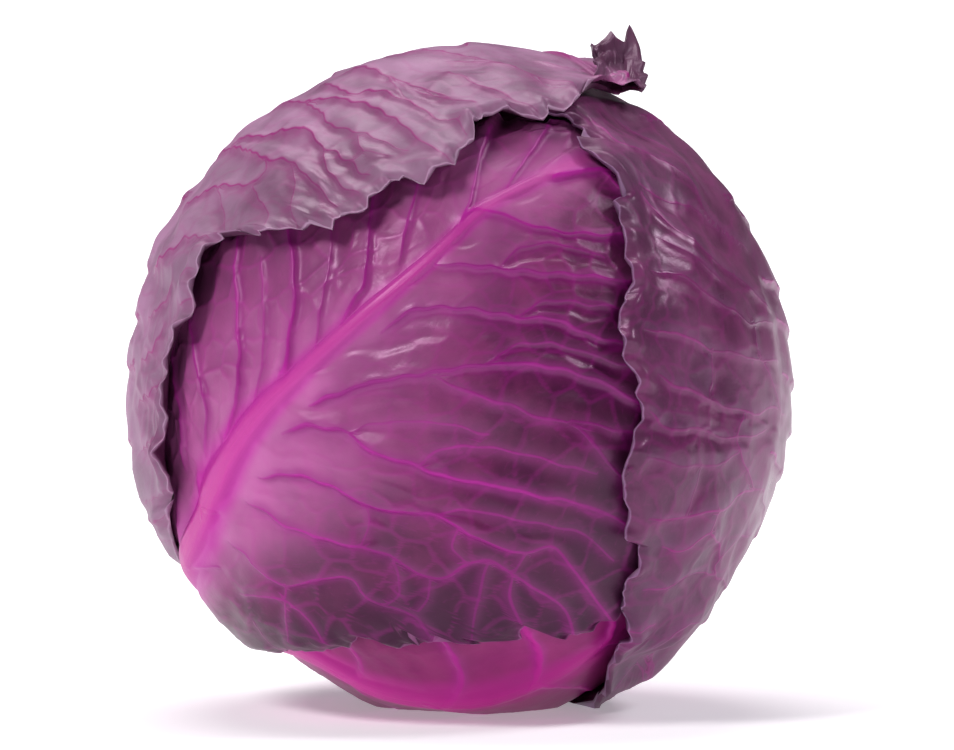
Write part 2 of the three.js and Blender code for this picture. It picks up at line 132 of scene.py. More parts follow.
# The nets of the outer leaves. Rows run along the side veins, from the stalk end to the tip.
NETS = {
    "leaf_under": [
        [near(-66, -45), near(-60, -52), far(-53, -58), far(-46, -63), far(-38, -65)],
        [near(-54, -47), near(-50, -57), near(-42, -66.5), far(-33, -72), far(-24, -68)],
        [near(-38, -46), near(-33, -60), near(-20, -74.5, 82.5), far(-10, -79.5, 82.5), far(-2, -70, 80)],
        [near(-18, -44), near(-10, -59), near(5, -76, 83.5), far(12, -79.5, 82.5), far(18, -70, 80)],
        [near(4, -42), near(12, -57), near(26, -70), far(32, -72, 80), far(36, -66)],
        [near(24, -38), near(32, -50), near(42, -59), near(48, -64), far(50, -58)],
        [near(38, -32), near(46, -42), near(53, -50), near(57, -55), near(60, -52)],
    ],
    "leaf_back": [
        [far(-24, -54), far(-28, -44), far(-32, -36), far(-40, -30), far(-50, -26)],
        [far(-2, -48), far(-8, -32), far(-14, -18), far(-30, -10), far(-50, -6)],
        [far(22, -42), far(14, -20), far(4, -2), far(-18, 8), far(-44, 14)],
        [far(40, -30), far(32, -6), far(20, 14), far(-4, 26), far(-32, 34)],
        [far(52, -12), far(44, 12), far(34, 30), far(12, 42), far(-14, 50)],
        [far(56, 8), far(50, 28), far(42, 44), far(26, 54), far(6, 62)],
        [far(54, 28), far(51, 38), far(46, 47), far(38, 55), far(28, 62)],
    ],
    "leaf_front": [
        [far(-77, 2), near(-75.5, -14), near(-67, -36), near(-51.5, -49), near(-37, -65)],
        [near(-77, 18), near(-73, -4), near(-63, -27), near(-29.5, -38), near(8, -62)],
        [near(-71.5, 32), near(-67, 4), near(-58, -17), near(-13, -31), near(35, -60)],
        [near(-58, 42.5), near(-57.5, 12.5), near(-51, -7), near(-4.5, -22), near(47, -39)],
        [near(-44, 50), near(-44, 21), near(-39, 5), near(8, 5), near(55, -10)],
        [near(-21, 60), near(-25, 34), near(-20, 22), near(17, 18), near(55, 7.5)],
        [near(-6, 66), near(-9.5, 45), near(-7.5, 33), near(21, 29.5), near(53, 22.5)],
        [near(8, 70), near(3, 55), near(5, 44.5), near(27, 39), near(49, 36)],
        [near(19, 68), near(23, 62.5), near(29, 56), near(37, 52.5), near(44, 49)],
        [near(26, 71), near(32, 67), near(39, 62), near(45, 58), near(52, 52)],
    ],
    "leaf_right": [
        [far(-36, -68), far(-34, -62), far(-31, -54), far(-32, -42), far(-33, -32)],
        [far(-14, -74), far(-12, -67), far(-10, -58), far(-14, -40), far(-18, -22)],
        [far(14, -75), far(14, -70), far(12, -60), far(10, -38), far(2, -14)],
        [near(36, -69), near(44, -66), far(33, -60), far(32, -34), far(18, -4)],
        [near(37.5, -59), near(59, -54), far(50, -56), far(48, -26), far(30, 6)],
        [near(39.5, -44), near(62.5, -43), far(63, -47), far(58, -16), far(38, 16)],
        [near(39.5, -31), near(66, -27.5), far(71.5, -34), far(63, -5), far(42, 25)],
        [near(41.5, -14), near(66, -13), far(76.5, -20), far(65, 6), far(44, 33)],
        [near(43, 0), near(67, -5), far(78.8, -8), far(65, 17), far(44, 40)],
        [near(39, 14), near(64, 8), far(79.1, 3), far(63, 27), far(43, 46)],
        [near(42, 28), near(63.5, 20), far(77.8, 15), far(60, 36), far(41, 52)],
        [near(38.5, 48), near(63, 30), far(74.2, 28), far(55, 45), far(39, 57)],
        [near(29, 66), near(55.5, 49.5), far(66, 42), far(49, 53), far(36, 62)],
        [near(26, 69), near(38, 67.5), far(50, 60), far(42, 64), far(33, 67)],
        [near(14, 72), near(22, 74), far(30, 73.5), far(28, 73), far(25, 71)],
    ],
    "leaf_cap": [
        [far(-30, -36), far(-48, -32), far(-62, -30), far(-73, -30), near(-76, -32)],
        [far(-16, -14), far(-46, -13), far(-69, -13), near(-81, -12), near(-77, -17.5)],
        [far(-6, 6), far(-40, 6), far(-69, 6), near(-81, 4), near(-76.5, 0)],
        [far(0, 22), far(-36, 24), far(-66, 21), near(-79.5, 17), near(-70, 21)],
        [far(4, 36), far(-32, 38), far(-62, 35), near(-77.5, 29), near(-64, 37)],
        [far(8, 48), far(-26, 51), far(-56, 47), near(-69.5, 45), near(-49, 39)],
        [far(11, 56), far(-18, 61), far(-48, 58), near(-56, 59), near(-32.5, 43)],
        [far(14, 62), far(-10, 68), far(-38, 66), near(-42, 63), near(-23.5, 49)],
        [far(17, 66), far(-2, 73), far(-26, 72), near(-29, 71), near(-4, 55.5)],
        [far(20, 69), far(6, 75), far(-13, 77), near(-17, 76), near(4, 67.5)],
        [far(23, 71), far(14, 76), far(4, 79.5), near(0, 79), near(19, 68)],
        [near(42, 73, 85), near(38.5, 73, 84), near(35.5, 73, 84), near(32.5, 74, 83), near(30, 75, 83)],
        [near(43, 78, 89.5), near(41, 78, 89), near(37.5, 77.5, 87), near(34, 77, 86), near(31, 77.5, 85)],
        [near(41, 83, 93), near(38.8, 88, 96), near(37, 83, 91.5), near(33.8, 85, 92), near(30, 82, 88)],
    ],
}

# The veins seen from the front, each with its strength and its points at x and z in millimetres
VEINS = {
    "leaf_front": [
        (0.7, [(-3, 39), (3, 43.5), (17, 39.5), (26, 37.5), (34.5, 37), (43, 37)]),
        (0.8, [(-7, 30), (8, 29), (22, 27.5), (37, 26), (44, 25)]),
        (0.8, [(-21, 14), (-12.5, 19), (-2, 19), (11.5, 17), (23, 16), (28, 13), (37, 11), (44, 9)]),
        (1.0, [(-39.5, -5), (-32, -2), (-23, 1), (-9.5, 3), (4, 5), (18, 5), (32, 1), (42, -4),
               (45.5, -6)]),
        (0.5, [(-9.5, 2), (4, -3), (13, -6), (18, -8), (26, -9.5), (31, -15), (34, -19), (38.5, -24)]),
        (0.4, [(26, -8.5), (40, -12), (44, -13)]),
        (1.0, [(-46, -12), (-40, -10), (-30, -12), (-23, -16.5), (-12, -20), (-6, -22), (3, -24),
               (10, -25), (20, -27), (27.5, -29), (38.5, -33.5), (43, -36)]),
        (0.95, [(-52, -23), (-43.5, -22.5), (-35, -24), (-25, -29), (-16, -30.5), (-8, -31), (-2, -33.5),
               (1, -36), (9, -39), (14, -40), (20, -38.5), (25, -44), (30, -51), (34, -56)]),
        (0.8, [(-55, -29.5), (-49, -32), (-43.5, -34.5), (-34, -37), (-25.5, -39), (-18, -41), (-9, -46),
               (-5, -46), (-0.5, -43), (5, -42), (11, -45), (18, -50), (23, -54), (25.5, -61)]),
        (0.7, [(-58, -39), (-54, -40.5), (-50, -44.5), (-44, -48), (-36.5, -46.5), (-28, -46), (-25, -49),
               (-19.5, -52), (-12.5, -54), (-7, -59)]),
        (0.5, [(-54, -50), (-44, -51), (-38, -55), (-32, -60)]),
        (0.35, [(-30, -12), (-24, -10), (-14.5, -9), (-4.5, -10), (4, -12)]),
        (0.35, [(-12, -20), (-7, -16), (3, -15), (13, -17), (22, -19), (30.5, -21)]),
        (0.35, [(-8, -31), (0.5, -30), (10.5, -32), (20, -34), (28, -36), (34, -41)]),
        (0.35, [(-2, -33.5), (-4, -39), (-0.5, -43)]),
        (0.35, [(14, -40), (11, -45)]),
        (0.35, [(-25.5, -39), (-24, -34), (-25, -29)]),
        (0.35, [(-18, -41), (-16, -49), (-19.5, -52)]),
        (0.35, [(-9, -46), (-9.5, -51), (-12.5, -54)]),
        (0.35, [(5, -42), (3, -49), (1.5, -55), (0.5, -59)]),
        (0.35, [(11, -45), (10, -51), (13, -57), (13.5, -61)]),
        (0.35, [(-44, -48), (-43, -54), (-42, -59)]),
        (0.3, [(8, 29), (13, 34), (22, 35), (33, 32)]),
        (0.3, [(11.5, 17), (20, 21), (30.5, 20), (40.5, 19)]),
        (0.3, [(4, 5), (13, 10), (23, 10), (33, 7), (42, 4)]),
        (0.9, [(-47, 2.5), (-45, 5.5), (-43, 23), (-44, 36.5), (-44.5, 45)]),
        (0.8, [(-31, 16), (-27.5, 22), (-25.5, 26), (-24, 40.5), (-23, 47.5), (-22, 56)]),
        (0.9, [(-61, -14), (-59, -9.5), (-57, 1), (-57.5, 16), (-58, 29.5), (-57.5, 36)]),
        (0.7, [(-66, -17), (-65, -6), (-67.5, 6), (-69.5, 19), (-69.5, 26)]),
        (0.6, [(-71, -21), (-72, -7.5), (-74, 5.5), (-74, 11)]),
        (0.7, [(-2, 40), (0.5, 45), (2.5, 55.5), (5.5, 64)]),
        (0.5, [(10, 50), (19, 62.5), (23, 69)]),
        (0.5, [(-17, 31), (-15, 40), (-12.5, 49), (-11, 55)]),
        (0.4, [(-38, 10), (-36.5, 21), (-34.5, 31), (-34.5, 40)]),
        (0.4, [(-53.5, -5), (-51.5, 6), (-51, 19), (-51.5, 31)]),
    ],
    "leaf_cap": [
        (0.7, [(-23, 83), (-6, 83), (11.5, 77.5), (23, 73.5), (28, 72)]),
        (0.6, [(-4.5, 81), (1, 80.5), (6.5, 79), (11, 78), (15.5, 75.5), (19, 73.5), (23, 72)]),
        (0.8, [(-31, 78), (-20, 77), (-7, 72), (1, 69)]),
        (0.6, [(-7, 78), (-3, 76), (3, 73), (9, 71), (12, 69), (16, 67)]),
        (0.5, [(-14.5, 74), (-9, 72), (-5, 71), (-2, 70)]),
        (0.9, [(-37, 75), (-29, 72), (-25, 72.5), (-21, 72), (-18, 71), (-14.5, 70), (-11.5, 68.5),
               (-8, 66), (-5, 65), (-2.5, 64.5)]),
        (0.9, [(-49.5, 69), (-41.5, 71), (-36, 71), (-32, 71), (-29, 70), (-24, 69), (-21, 67.5),
               (-17.5, 65), (-15, 62.5), (-11.5, 59.5), (-8, 57), (-4.5, 55)]),
        (0.7, [(-41.5, 71), (-38, 69), (-36, 67.5), (-35, 65), (-31, 64), (-28, 63), (-25, 62),
               (-22, 60.5), (-20, 59.5), (-15.5, 58)]),
        (0.9, [(-58.5, 60), (-50, 62), (-42, 62.5), (-39.5, 63), (-36, 59), (-33, 58), (-31, 56),
               (-28.5, 55), (-27, 53), (-25, 52)]),
        (0.6, [(-36, 59), (-34.5, 53.5), (-33, 51.5), (-31, 49), (-29, 47.5), (-27.5, 47)]),
        (0.9, [(-63, 57), (-57, 59), (-50, 55.5), (-43.5, 55), (-39.5, 51), (-37, 49), (-32.5, 44)]),
        (0.9, [(-71, 44), (-62.5, 49), (-54, 50), (-49.5, 53), (-50, 55.5)]),
        (0.6, [(-54, 50), (-51.5, 46), (-49, 42), (-49, 39)]),
        (0.8, [(-77.5, 28), (-72, 33), (-69, 36), (-64, 36.5)]),
        (0.7, [(-79, 17), (-75.5, 20), (-73.5, 23), (-73, 24)]),
        (0.5, [(-27.5, 62), (-27, 59.5), (-26, 57), (-28.5, 55)]),
        (0.4, [(-26, 57), (-19.5, 56.5)]),
        (0.6, [(18, 81), (23.5, 79), (30, 78)]),
        (0.4, [(-7, 66), (-3, 64.5), (-1, 62)]),
        (0.7, [(-80, 6), (-78, 8), (-76, 11), (-75, 14)]),
        (0.7, [(-81, -5), (-79.5, -3), (-78, -2), (-77, 0)]),
        (0.7, [(-80.5, -16), (-79, -15), (-78, -14), (-76.5, -13)]),
        (0.4, [(-62.5, 49), (-61.5, 44), (-61, 39)]),
        (0.4, [(-43.5, 55), (-42, 49), (-43, 43), (-42, 39)]),
        (0.4, [(-20, 77), (-17, 73), (-14.5, 70)]),
    ],
    "leaf_right": [
        (0.5, [(30, 66), (33, 62.5), (37.5, 58.5), (43, 57.5), (49, 54.5), (55, 50), (60.5, 43), (66, 38),
               (71, 34.5)]),
        (0.5, [(42.5, 49), (49, 46), (57.5, 43.5), (63, 39.5), (69, 35)]),
        (0.6, [(43, 47), (49, 41), (57.5, 33), (66, 27.5), (72, 23), (76.5, 19)]),
        (0.5, [(46, 28), (53, 26.5), (59, 22), (66, 18), (71, 15), (77, 16)]),
        (0.6, [(44, 13), (52, 12), (60.5, 9), (72, 6.5), (79, 6)]),
        (0.7, [(47, 2), (52, -1), (59, -3), (68, -6.5), (78, -6)]),
        (0.8, [(44, -7.5), (48, -10), (54, -10), (57, -11), (61, -12), (66, -13), (74, -11)]),
        (0.5, [(43, -17), (46, -18), (52, -19), (56, -20), (60.5, -19), (65.5, -17.5)]),
        (0.9, [(43, -32), (46.5, -32), (51, -31), (59, -29.5), (70, -26), (73, -26), (75, -28),
               (77.5, -36)]),
        (0.7, [(47, -39), (51, -38.5), (57, -35), (60.5, -38), (62, -42), (60.5, -46), (65, -51)]),
        (0.7, [(43, -49), (47, -48), (52, -46), (60.5, -46)]),
        (0.5, [(62, -42), (69, -38), (77, -37)]),
        (0.4, [(70, 18), (72, 14.5), (71.5, 10), (75, 3.5), (79, -5.5), (82, -8)]),
        (0.4, [(68, -7), (66, -13), (66.5, -17), (70, -24), (73, -26)]),
        (0.5, [(44.5, -61), (49, -58), (55.5, -56), (63, -54)]),
        (0.4, [(47.5, 36), (55.5, 31), (62, 26)]),
        (0.4, [(51, -31), (54, -26), (56, -20)]),
        (0.4, [(59, -3), (61, 3), (60.5, 9)]),
        (0.4, [(57, -35), (58, -32), (59, -29.5)]),
        (0.4, [(38, 67), (45.5, 62.5), (53, 56), (59.5, 49)]),
    ],
}

# The ragged edges seen from the front: which edge of the leaf, and its points in millimetres
EDGES = {
    "leaf_cap": (1, [(-73, -36), (-76, -36.5), (-77, -36), (-77, -31), (-76, -27), (-76, -25),
        (-77.5, -19), (-77, -17), (-76, -13), (-77, -10.5), (-77, -8), (-79, -5.5), (-77.5, -3), (-77, 0),
        (-76, 1), (-76.5, 4), (-76, 5), (-75, 10), (-74, 14), (-71, 16), (-70, 19), (-70, 22.5), (-69, 24),
        (-69, 26), (-67, 29.5), (-66, 34), (-65, 37), (-64, 38), (-61.5, 35), (-62, 31), (-61, 30),
        (-60, 35), (-59, 38), (-57.5, 38), (-56.5, 36), (-55, 37.5), (-51.5, 38), (-46, 38.5), (-44, 39.5),
        (-42, 37), (-40.5, 39), (-39.5, 42), (-38, 38), (-34, 37), (-33, 37.5), (-32, 42), (-31, 43),
        (-27, 42.5), (-24, 43.5), (-24, 46.5), (-20, 50), (-20, 52), (-20.5, 55), (-19, 56), (-17, 54),
        (-18, 51), (-16.5, 54), (-13, 51), (-11, 51), (-9.5, 53), (-5, 54), (-4, 55.5), (-4, 58.5),
        (-1, 59), (1, 62), (2, 63), (1, 65), (4, 69), (5.5, 68), (8, 68.5), (12, 69), (13, 67.5), (17, 67),
        (19, 67), (20, 68), (19, 70), (21, 71), (23.5, 68), (27, 69.5), (28.5, 71), (28.5, 72), (27, 74),
        (30, 75), (32, 77)]),
    "leaf_right": (-1, [(25, 66), (28.5, 62.5), (32, 58.5), (34, 56), (37, 53.5), (40, 50.5), (42.5, 49),
        (37.5, 48), (38.5, 43.5), (40, 37), (41.5, 29), (43, 25), (40, 23), (39, 19), (39.5, 11), (40, 6),
        (42, 4), (44, -2), (46, -9), (45.5, -9), (43, -11), (42, -14), (39.5, -16.5), (38.5, -19.5),
        (37, -22), (39, -25), (39, -27), (39.5, -29.5), (41, -31), (40.5, -34), (39, -37), (40, -39),
        (44, -39), (44, -38), (46, -37), (44.5, -40), (44, -44), (40, -47), (38.5, -51.5), (39, -56),
        (41, -62), (37, -64.5), (36.5, -70)]),
    "leaf_front": (1, [(-51, -62), (-46.5, -64), (-42, -66), (-40, -64), (-36.5, -67.5), (-34.5, -64),
        (-30, -64), (-28, -61.5), (-24, -60), (-20.5, -58), (-19, -59), (-16, -61), (-13, -60), (-9, -62),
        (-7.5, -60), (-5.5, -59), (-3, -60), (-0.5, -61.5), (3.5, -61.5), (7, -61.5), (11.5, -64),
        (13, -61), (16, -59.5), (20, -61.5), (23.5, -62), (31, -61), (35, -60), (38, -57.5), (43, -51)]),
}

# What sets one leaf apart, in millimetres: the radius at which its blade and its edge are seen, its own
# least radius, the height of its rib, side veins and net, the pucker of its blade, and the ruffle, the
# cuts and the small crimp of its edge. The side that gets more painted shade towards its edge (0 for both)
# and a seed.
LEAVES = {
    "leaf_under": dict(seen_at=81, edge_at=81, radius=77, rib=2.6, vein=1.3, net=0.3, pucker=0.2,
                       ruffle=0.5, cuts=0.6, crimp=0.3, shaded_side=0, seed=3),
    "leaf_back": dict(seen_at=81, edge_at=82, radius=77, rib=2.4, vein=1.7, net=0.4, pucker=0.3,
                      ruffle=1.0, cuts=1.0, crimp=0.4, shaded_side=0, seed=5),
    "leaf_front": dict(seen_at=80.5, edge_at=84, radius=77, rib=3.2, vein=2.3, net=0.45, pucker=0.25,
                       ruffle=1.1, cuts=0.8, crimp=0.9, shaded_side=1, seed=11),
    "leaf_right": dict(seen_at=82.5, edge_at=86, radius=79, rib=2.6, vein=1.6, net=0.35, pucker=0.35,
                       ruffle=1.2, cuts=1.1, crimp=0.7, shaded_side=0, seed=17),
    "leaf_cap": dict(seen_at=85, edge_at=87, radius=82.3, rib=2.6, vein=1.9, net=0.35, pucker=0.3,
                     ruffle=1.7, cuts=1.4, crimp=0.6, shaded_side=0, seed=23),
}


def hex_colour(code):
    """A screen colour, as red, green and blue light."""
    channels = [int(code[i:i + 2], 16) / 255 for i in (0, 2, 4)]
    return tuple(c / 12.92 if c <= 0.04045 else ((c + 0.055) / 1.055) ** 2.4 for c in channels)


def smooth_step(low, high, value):
    """From 0 at low to 1 at high, without a corner at either end."""
    share = np.clip((value - low) / (high - low), 0.0, 1.0)
    return share * share * (3 - 2 * share)


# Curves and surfaces through a net

def curve_weights(at, count):
    """For each place along a curve, how much each of its points counts."""
    k = np.clip(at.astype(int), 0, count - 2)
    t = at - k
    parts = [-t + 2 * t**2 - t**3, 2 - 5 * t**2 + 3 * t**3, t + 4 * t**2 - 3 * t**3, t**3 - t**2]
    weights = np.zeros((len(at), count + 2))
    for j, part in enumerate(parts):
        weights[np.arange(len(at)), k + j] += part / 2
    weights[:, 1] += 2 * weights[:, 0]
    weights[:, 2] -= weights[:, 0]
    weights[:, -2] += 2 * weights[:, -1]
    weights[:, -3] -= weights[:, -1]
    return weights[:, 1:-1]


class Leaf:
    """The smooth sheet that a leaf's net spans, with places on it given as across (-1 to 1) and along."""

    def __init__(self, name):
        self.name = name
        self.facts = LEAVES[name]
        rows = [[self.net_point(j, *point) for j, point in enumerate(row)] for row in NETS[name]]
        rows = np.array([self.base_row(rows[0])] + rows)
        self.net = rows
        self.last = len(rows) - 1
        self.measure()

    def net_point(self, column, x, z, side, radius):
        stand = self.facts["edge_at"] if column in (0, 4) else self.facts["seen_at"]
        direction = seen(x, z, side, max(radius, stand))
        return np.append(direction, max(radius, self.facts["radius"]))

    def base_row(self, row):
        """Every leaf starts in a ring round the stalk, each point on the way to its first row."""
        points = []
        for point in row:
            outward = point[:3] - np.dot(point[:3], STALK) * STALK
            outward /= np.linalg.norm(outward)
            angle = BASE_REACH / HEAD_RADIUS
            points.append(np.append(STALK * math.cos(angle) + outward * math.sin(angle), point[3]))
        return points

    def places(self, across, along):
        """Directions from the middle of the head, and the net's own radius."""
        by_row = curve_weights(along, self.last + 1)
        by_column = curve_weights((across + 1) * 2, 5)
        points = np.einsum("nr,rcd,nc->nd", by_row, self.net, by_column, optimize=True)
        length = np.linalg.norm(points[:, :3], axis=1, keepdims=True)
        return points[:, :3] / length, points[:, 3]

    def measure(self):
        """Half widths and edge lengths, in millimetres, at steps along the leaf."""
        self.steps = np.linspace(0, self.last, 12 * self.last + 1)
        spine, _ = self.places(np.zeros_like(self.steps), self.steps)
        self.half, self.length = {}, {}
        for side in (-1, 1):
            edge, _ = self.places(np.full_like(self.steps, side), self.steps)
            self.half[side] = HEAD_RADIUS * np.arccos(np.clip((spine * edge).sum(1), -1, 1))
            strides = HEAD_RADIUS * np.linalg.norm(np.diff(edge, axis=0), axis=1)
            self.length[side] = np.concatenate(([0.0], np.cumsum(strides)))

    def half_width(self, across, along):
        left = np.interp(along, self.steps, self.half[-1])
        right = np.interp(along, self.steps, self.half[1])
        return np.where(across < 0, left, right)

    def edge_length(self, across, along):
        left = np.interp(along, self.steps, self.length[-1])
        right = np.interp(along, self.steps, self.length[1])
        return np.where(across < 0, left, right)


def any_phase(chance):
    """A random place in a wave, over about one whole turn."""
    return chance.uniform(0, 6.3)


def waves(where, lengths, seed):
    """A wavy line from -1 to 1 that never quite repeats, with the given wave lengths."""
    chance = random.Random(seed)
    total = 0
    for length in lengths:
        bend = 0.8 * np.sin(where / (2.7 * length) + any_phase(chance))
        total = total + np.sin(2 * math.pi * where / length + bend + any_phase(chance))
    return total / len(lengths)


def scallops(where, length, seed):
    """Pointed tips with hollow arcs of uneven depth between them: 0 at a tip and up to 1 in an arc."""
    chance = random.Random(seed)
    bend = 2.3 * np.sin(where / (1.9 * length) + any_phase(chance))
    depth = 0.5 + 0.3 * np.sin(where / (1.3 * length) + any_phase(chance))
    depth = depth + 0.2 * np.sin(where / (0.47 * length) + any_phase(chance))
    return depth * np.abs(np.sin(math.pi * where / length + bend + any_phase(chance)))


# How far out each leaf lies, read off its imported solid

class Lift:
    """The inner face of a packed leaf: its distance from the middle of the head, in millimetres."""

    ACROSS = 81
    ALONG = 141

    def __init__(self, leaf):
        self.leaf = leaf
        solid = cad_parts[leaf.name]
        tree = BVHTree.FromObject(solid, bpy.context.evaluated_depsgraph_get())
        across, along = np.meshgrid(np.linspace(-1, 1, self.ACROSS), np.linspace(0, leaf.last, self.ALONG))
        directions, radius = leaf.places(across.ravel(), along.ravel())
        middle = Vector(MIDDLE * MM)
        lift = np.empty(len(directions))
        for i, direction in enumerate(directions):
            ray = Vector(direction)
            hit, _, _, distance = tree.ray_cast(middle, ray)
            if hit is None:
                hit, _, _, _ = tree.find_nearest(middle + ray * HEAD_RADIUS * MM)
                distance = (hit - middle).length
            lift[i] = distance / MM
        lift = np.where(radius > OFF_HEAD, radius, lift).reshape(self.ALONG, self.ACROSS)
        for _ in range(3):
            lift = (lift + neighbour_sum(lift) / 4) / 2
        self.grid = lift

    def at(self, across, along):
        u = np.clip((across + 1) / 2, 0, 1) * (self.ACROSS - 1)
        v = np.clip(along / self.leaf.last, 0, 1) * (self.ALONG - 1)
        i = np.minimum(v.astype(int), self.ALONG - 2)
        j = np.minimum(u.astype(int), self.ACROSS - 2)
        s, t = u - j, v - i
        low = self.grid[i, j] * (1 - s) + self.grid[i, j + 1] * s
        high = self.grid[i + 1, j] * (1 - s) + self.grid[i + 1, j + 1] * s
        return low * (1 - t) + high * t


# Veins

def traced_veins(leaf):
    """The veins seen from the front: their directions, how strong they are, and their high side."""
    for power, path in VEINS.get(leaf.name, []):
        corners = np.array([seen(x, z, -1, leaf.facts["seen_at"]) for x, z in path])
        length = HEAD_RADIUS * np.linalg.norm(np.diff(corners, axis=0), axis=1).sum()
        at = np.linspace(0, len(path) - 1, int(length / VEIN_STEP))
        line = curve_weights(at, len(path)) @ corners
        share = at / at[-1]
        swell = (1 - 0.7 * np.exp(-length * share / 2.5)) * (1 - 0.65 * share)
        yield line / np.linalg.norm(line, axis=1, keepdims=True), power * swell, 1


def grown_veins(leaf):
    """Side veins and their forks all over the leaf, in the same form."""
    chance = random.Random(leaf.facts["seed"])
    for k in range(1, leaf.last):
        for side in (-1, 1):
            share = np.linspace(0, 0.985, GROWN_POINTS)
            start = chance.uniform(-0.1, 0.1)
            phase = any_phase(chance)
            sweep = 0.5 * (1 - share) ** 6
            sway = 0.05 * share * np.sin(9 * share + phase)
            path = k + start * (1 - share) - sweep + sway
            power = 1 - 0.72 * share
            yield leaf.places(side * share, path)[0], power, side
            for turn in chance.sample((-1, 1), 2):
                from_share = chance.uniform(0.28, 0.62)
                out = share >= from_share
                reach = (share[out] - from_share) / (1 - from_share)
                fork = path[out] + turn * chance.uniform(0.3, 0.46) * reach**0.8
                fork = np.clip(fork, 0.3, leaf.last)
                yield leaf.places(side * share[out], fork)[0], 0.62 * power[out] * (1 - 0.5 * reach), side


class Veins:
    """All side veins of a leaf: traced where the front is seen, and grown elsewhere."""

    def __init__(self, leaf):
        traced = [self.with_sides(*vein) for vein in traced_veins(leaf)]
        grown = [self.with_sides(*vein) for vein in grown_veins(leaf)]
        if traced:
            known = tree_of(np.concatenate(traced)[:, :3])
            grown = [vein[[known.find(spot[:3])[2] > VEIN_CLEARANCE for spot in vein]] for vein in grown]
        rows = np.concatenate(traced + grown)
        self.spots, self.to_high, self.power = rows[:, :3], rows[:, 3:6], rows[:, 6]
        self.tree = tree_of(self.spots)

    @staticmethod
    def with_sides(directions, power, high_side):
        """Rows of a vein's spots on the head, the way to its high side, and its strength."""
        spots = directions * HEAD_RADIUS
        to_high = np.cross(directions, np.gradient(spots, axis=0)) * high_side
        to_high /= np.linalg.norm(to_high, axis=1, keepdims=True)
        return np.column_stack((spots, to_high, power))

    def near(self, points):
        """Distance to the nearest vein, its strength, and the distance up its high side."""
        found = [self.tree.find(point)[1:] for point in points]
        nearest = np.array([index for index, _ in found])
        up = ((points - self.spots[nearest]) * self.to_high[nearest]).sum(axis=1)
        return np.array([distance for _, distance in found]), self.power[nearest], up


def net_seeds(leaf, spacing):
    """Seeds of the fine net, scattered evenly but not in rows."""
    chance = random.Random(leaf.facts["seed"] + 100)
    across, along = [], []
    spine, _ = leaf.places(np.zeros_like(leaf.steps), leaf.steps)
    strides = HEAD_RADIUS * np.linalg.norm(np.diff(spine, axis=0), axis=1)
    travelled = np.concatenate(([0.0], np.cumsum(strides)))
    for n in range(1, int(travelled[-1] / spacing) + 2):
        k = np.interp(n * spacing, travelled, leaf.steps)
        for side in (-1, 1):
            half = np.interp(k, leaf.steps, leaf.half[side])
            count = max(2, int(half / spacing))
            for j in range(count + 2):
                across.append(side * (j + 0.5 * (n % 2) + chance.uniform(-0.42, 0.42)) / count)
                along.append(k + chance.uniform(-0.42, 0.42) * spacing * leaf.last / travelled[-1])
    directions, _ = leaf.places(np.clip(across, -1.1, 1.1), np.clip(along, 0, leaf.last))
    return directions * HEAD_RADIUS


def wander(points, amount, length, seed):
    """The same points, each moved a little by smooth waves, so that lines found from them wander."""
    chance = np.random.default_rng(seed)
    moved = points.copy()
    for _ in range(5):
        turn = chance.normal(size=3) * 2 * math.pi / length / 1.7
        wave = np.sin(points @ turn + any_phase(chance))
        moved = moved + amount / 2 * np.outer(wave, chance.normal(size=3))
    return moved


def tree_of(points):
    tree = KDTree(len(points))
    for i, point in enumerate(points):
        tree.insert(point, i)
    tree.balance()
    return tree


def near_net(points, seeds):
    """Distance to the nearest line of the fine net."""
    tree = tree_of(seeds)
    distance = np.empty(len(points))
    for i, point in enumerate(points):
        (a, _, first), (b, _, second) = tree.find_n(point, 2)
        distance[i] = (second**2 - first**2) / (2 * max((a - b).length, 1e-6))
    return distance


# Leaves

def only(piece):
    bpy.ops.object.select_all(action="DESELECT")
    piece.select_set(True)
    bpy.context.view_layer.objects.active = piece


def select_faces(piece, chosen):
    """Selects the faces of a piece that pass a test, and leaves it in edit mode."""
    bpy.ops.object.mode_set(mode="EDIT")
    bpy.ops.mesh.select_mode(type="FACE")
    bpy.ops.mesh.select_all(action="DESELECT")
    bpy.ops.object.mode_set(mode="OBJECT")
    for face in piece.data.polygons:
        face.select = chosen(face)
    bpy.ops.object.mode_set(mode="EDIT")


def flat_pattern(name):
    """A flat closed sheet, its outer face cut finely: x runs across the leaf and y along it."""
    bpy.ops.object.select_all(action="DESELECT")
    bpy.ops.mesh.primitive_grid_add(x_subdivisions=CELLS_ACROSS, y_subdivisions=CELLS_ALONG, size=2)
    pattern = bpy.context.object
    pattern.name = name + "_looks"
    solidify = pattern.modifiers.new("blade", "SOLIDIFY")
    solidify.thickness = PATTERN_THICKNESS
    solidify.offset = -1
    bpy.ops.object.modifier_apply(modifier=solidify.name)
    select_faces(pattern, lambda face: face.normal.z > 0.5)
    bpy.ops.mesh.subdivide(number_cuts=OUTER_CUTS)
    bpy.ops.object.mode_set(mode="OBJECT")
    return pattern


def mesh_points(piece):
    points = np.empty(len(piece.data.vertices) * 3)
    piece.data.vertices.foreach_get("co", points)
    return points.reshape(-1, 3)


def set_mesh_points(piece, points):
    piece.data.vertices.foreach_set("co", np.ascontiguousarray(points, dtype=np.float32).ravel())
    piece.data.update()


def add_attribute(piece, name, values):
    attribute = piece.data.attributes.new(name, "FLOAT", "POINT")
    attribute.data.foreach_set("value", values.astype(np.float32))


def fine_grid(leaf):
    """Every place of the finely cut face, as across and along, in rows along the leaf."""
    across = np.linspace(-1, 1, FINE_ACROSS + 1)
    along = np.linspace(0, leaf.last, FINE_ALONG + 1)
    return [plane.ravel() for plane in np.meshgrid(across, along)]


